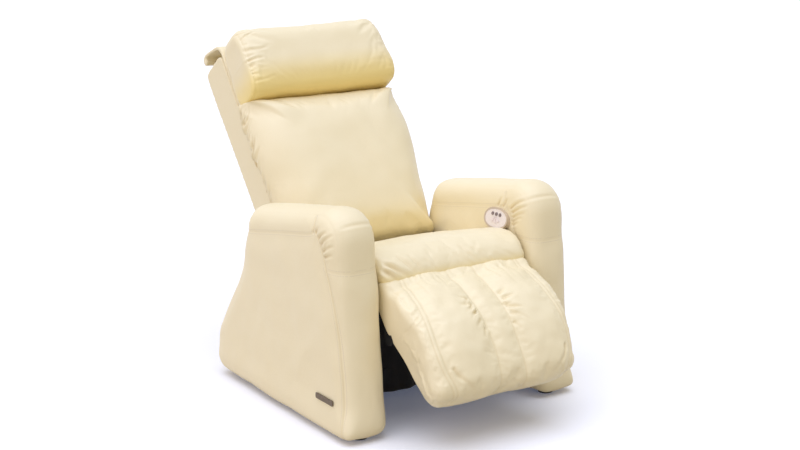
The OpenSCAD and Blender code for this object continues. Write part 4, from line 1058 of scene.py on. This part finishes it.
plywood, tree, shader = new_material("plywood", Specular_IOR_Level=0.3)
figure = drawn_noise(tree, 0.12, 90.0, 5, 0.62)
wood_colour = mix_colour(tree, figure, (0.50, 0.33, 0.17, 1), (0.66, 0.48, 0.28, 1))
feed(tree, shader.inputs["Base Color"], wood_colour)
rough(tree, shader, figure, spread=0.2, least=0.5)
bump(tree, shader, figure, strength=0.3, distance=0.0006)
finish(plywood, "arm_frames", "seat_deck")


# Moulded parts. Motors, actuator tubes, electrical boxes, feet and wheels in fine-textured black
# plastic; the massage rollers' tyres in softer rubber.

black_plastic = surfaced("black_plastic", (0.020, 0.020, 0.022, 1), (0.030, 0.030, 0.032, 1),
                         roughness=0.40, spread=0.22, fineness=1400.0, depth=0.0004, Specular_IOR_Level=0.45)
finish(black_plastic, "glide_feet", "rear_cover", "control_box", "power_inlet", "power_rocker",
       "transport_wheel_left", "transport_wheel_right", "lift_motor", "knead_motor", "back_actuator",
       "leg_actuator")
roller_rubber = surfaced("roller_rubber", (0.085, 0.080, 0.076, 1), (0.110, 0.104, 0.098, 1),
                         roughness=0.62, spread=0.20, fineness=900.0, depth=0.0006, Specular_IOR_Level=0.3)
finish(roller_rubber, "roller_upper_left", "roller_lower_left", "roller_upper_right", "roller_lower_right")


# Badge plate. A small blank plate of brushed bronze, darkened by age, pinned low on the outer
# side of the arm on the sitter's right.

bronze, tree, shader = new_material("aged_bronze", Metallic=1.0)
strokes = drawn_noise(tree, 0.05, 1400.0, 3)
surface = use_group(tree, fine_surface, Fineness=600.0, Patches=60.0)
bronze_colour = mix_colour(tree, surface["Drift"], (0.10, 0.075, 0.05, 1), (0.20, 0.15, 0.10, 1))
feed(tree, shader.inputs["Base Color"], bronze_colour)
rough(tree, shader, strokes, spread=0.25, least=0.28)
bump(tree, shader, strokes, strength=0.35, distance=0.0003)
finish(bronze, "badge_plate")


# Controller. A pearl-white oval moulding in a brown-gold rim, with three dark rubber buttons in
# a row and a fan of larger pearl keys below them.

bezel_gold = surfaced("bezel_gold", (0.66, 0.55, 0.43, 1), (0.56, 0.45, 0.33, 1),
                      roughness=0.30, spread=0.15, fineness=1200.0, depth=0.0002, Coat_Weight=0.3)
finish(bezel_gold, "controller_bezel")
pearl_plastic = surfaced("pearl_plastic", (0.84, 0.76, 0.72, 1), (0.88, 0.81, 0.77, 1),
                         roughness=0.24, spread=0.12, fineness=1600.0, depth=0.0002,
                         patches=40.0, Coat_Weight=0.4)
finish(pearl_plastic, "controller_face")
key_plastic = surfaced("key_plastic", (0.80, 0.70, 0.68, 1), (0.84, 0.75, 0.73, 1),
                       roughness=0.30, spread=0.12, fineness=1600.0, depth=0.0002, patches=40.0)
finish(key_plastic, "key_front", "key_middle", "key_rear")
button_rubber = surfaced("button_rubber", (0.21, 0.165, 0.16, 1), (0.26, 0.205, 0.20, 1),
                         roughness=0.45, spread=0.15, fineness=1600.0, depth=0.0002)
finish(button_rubber, "button_front", "button_middle", "button_rear")
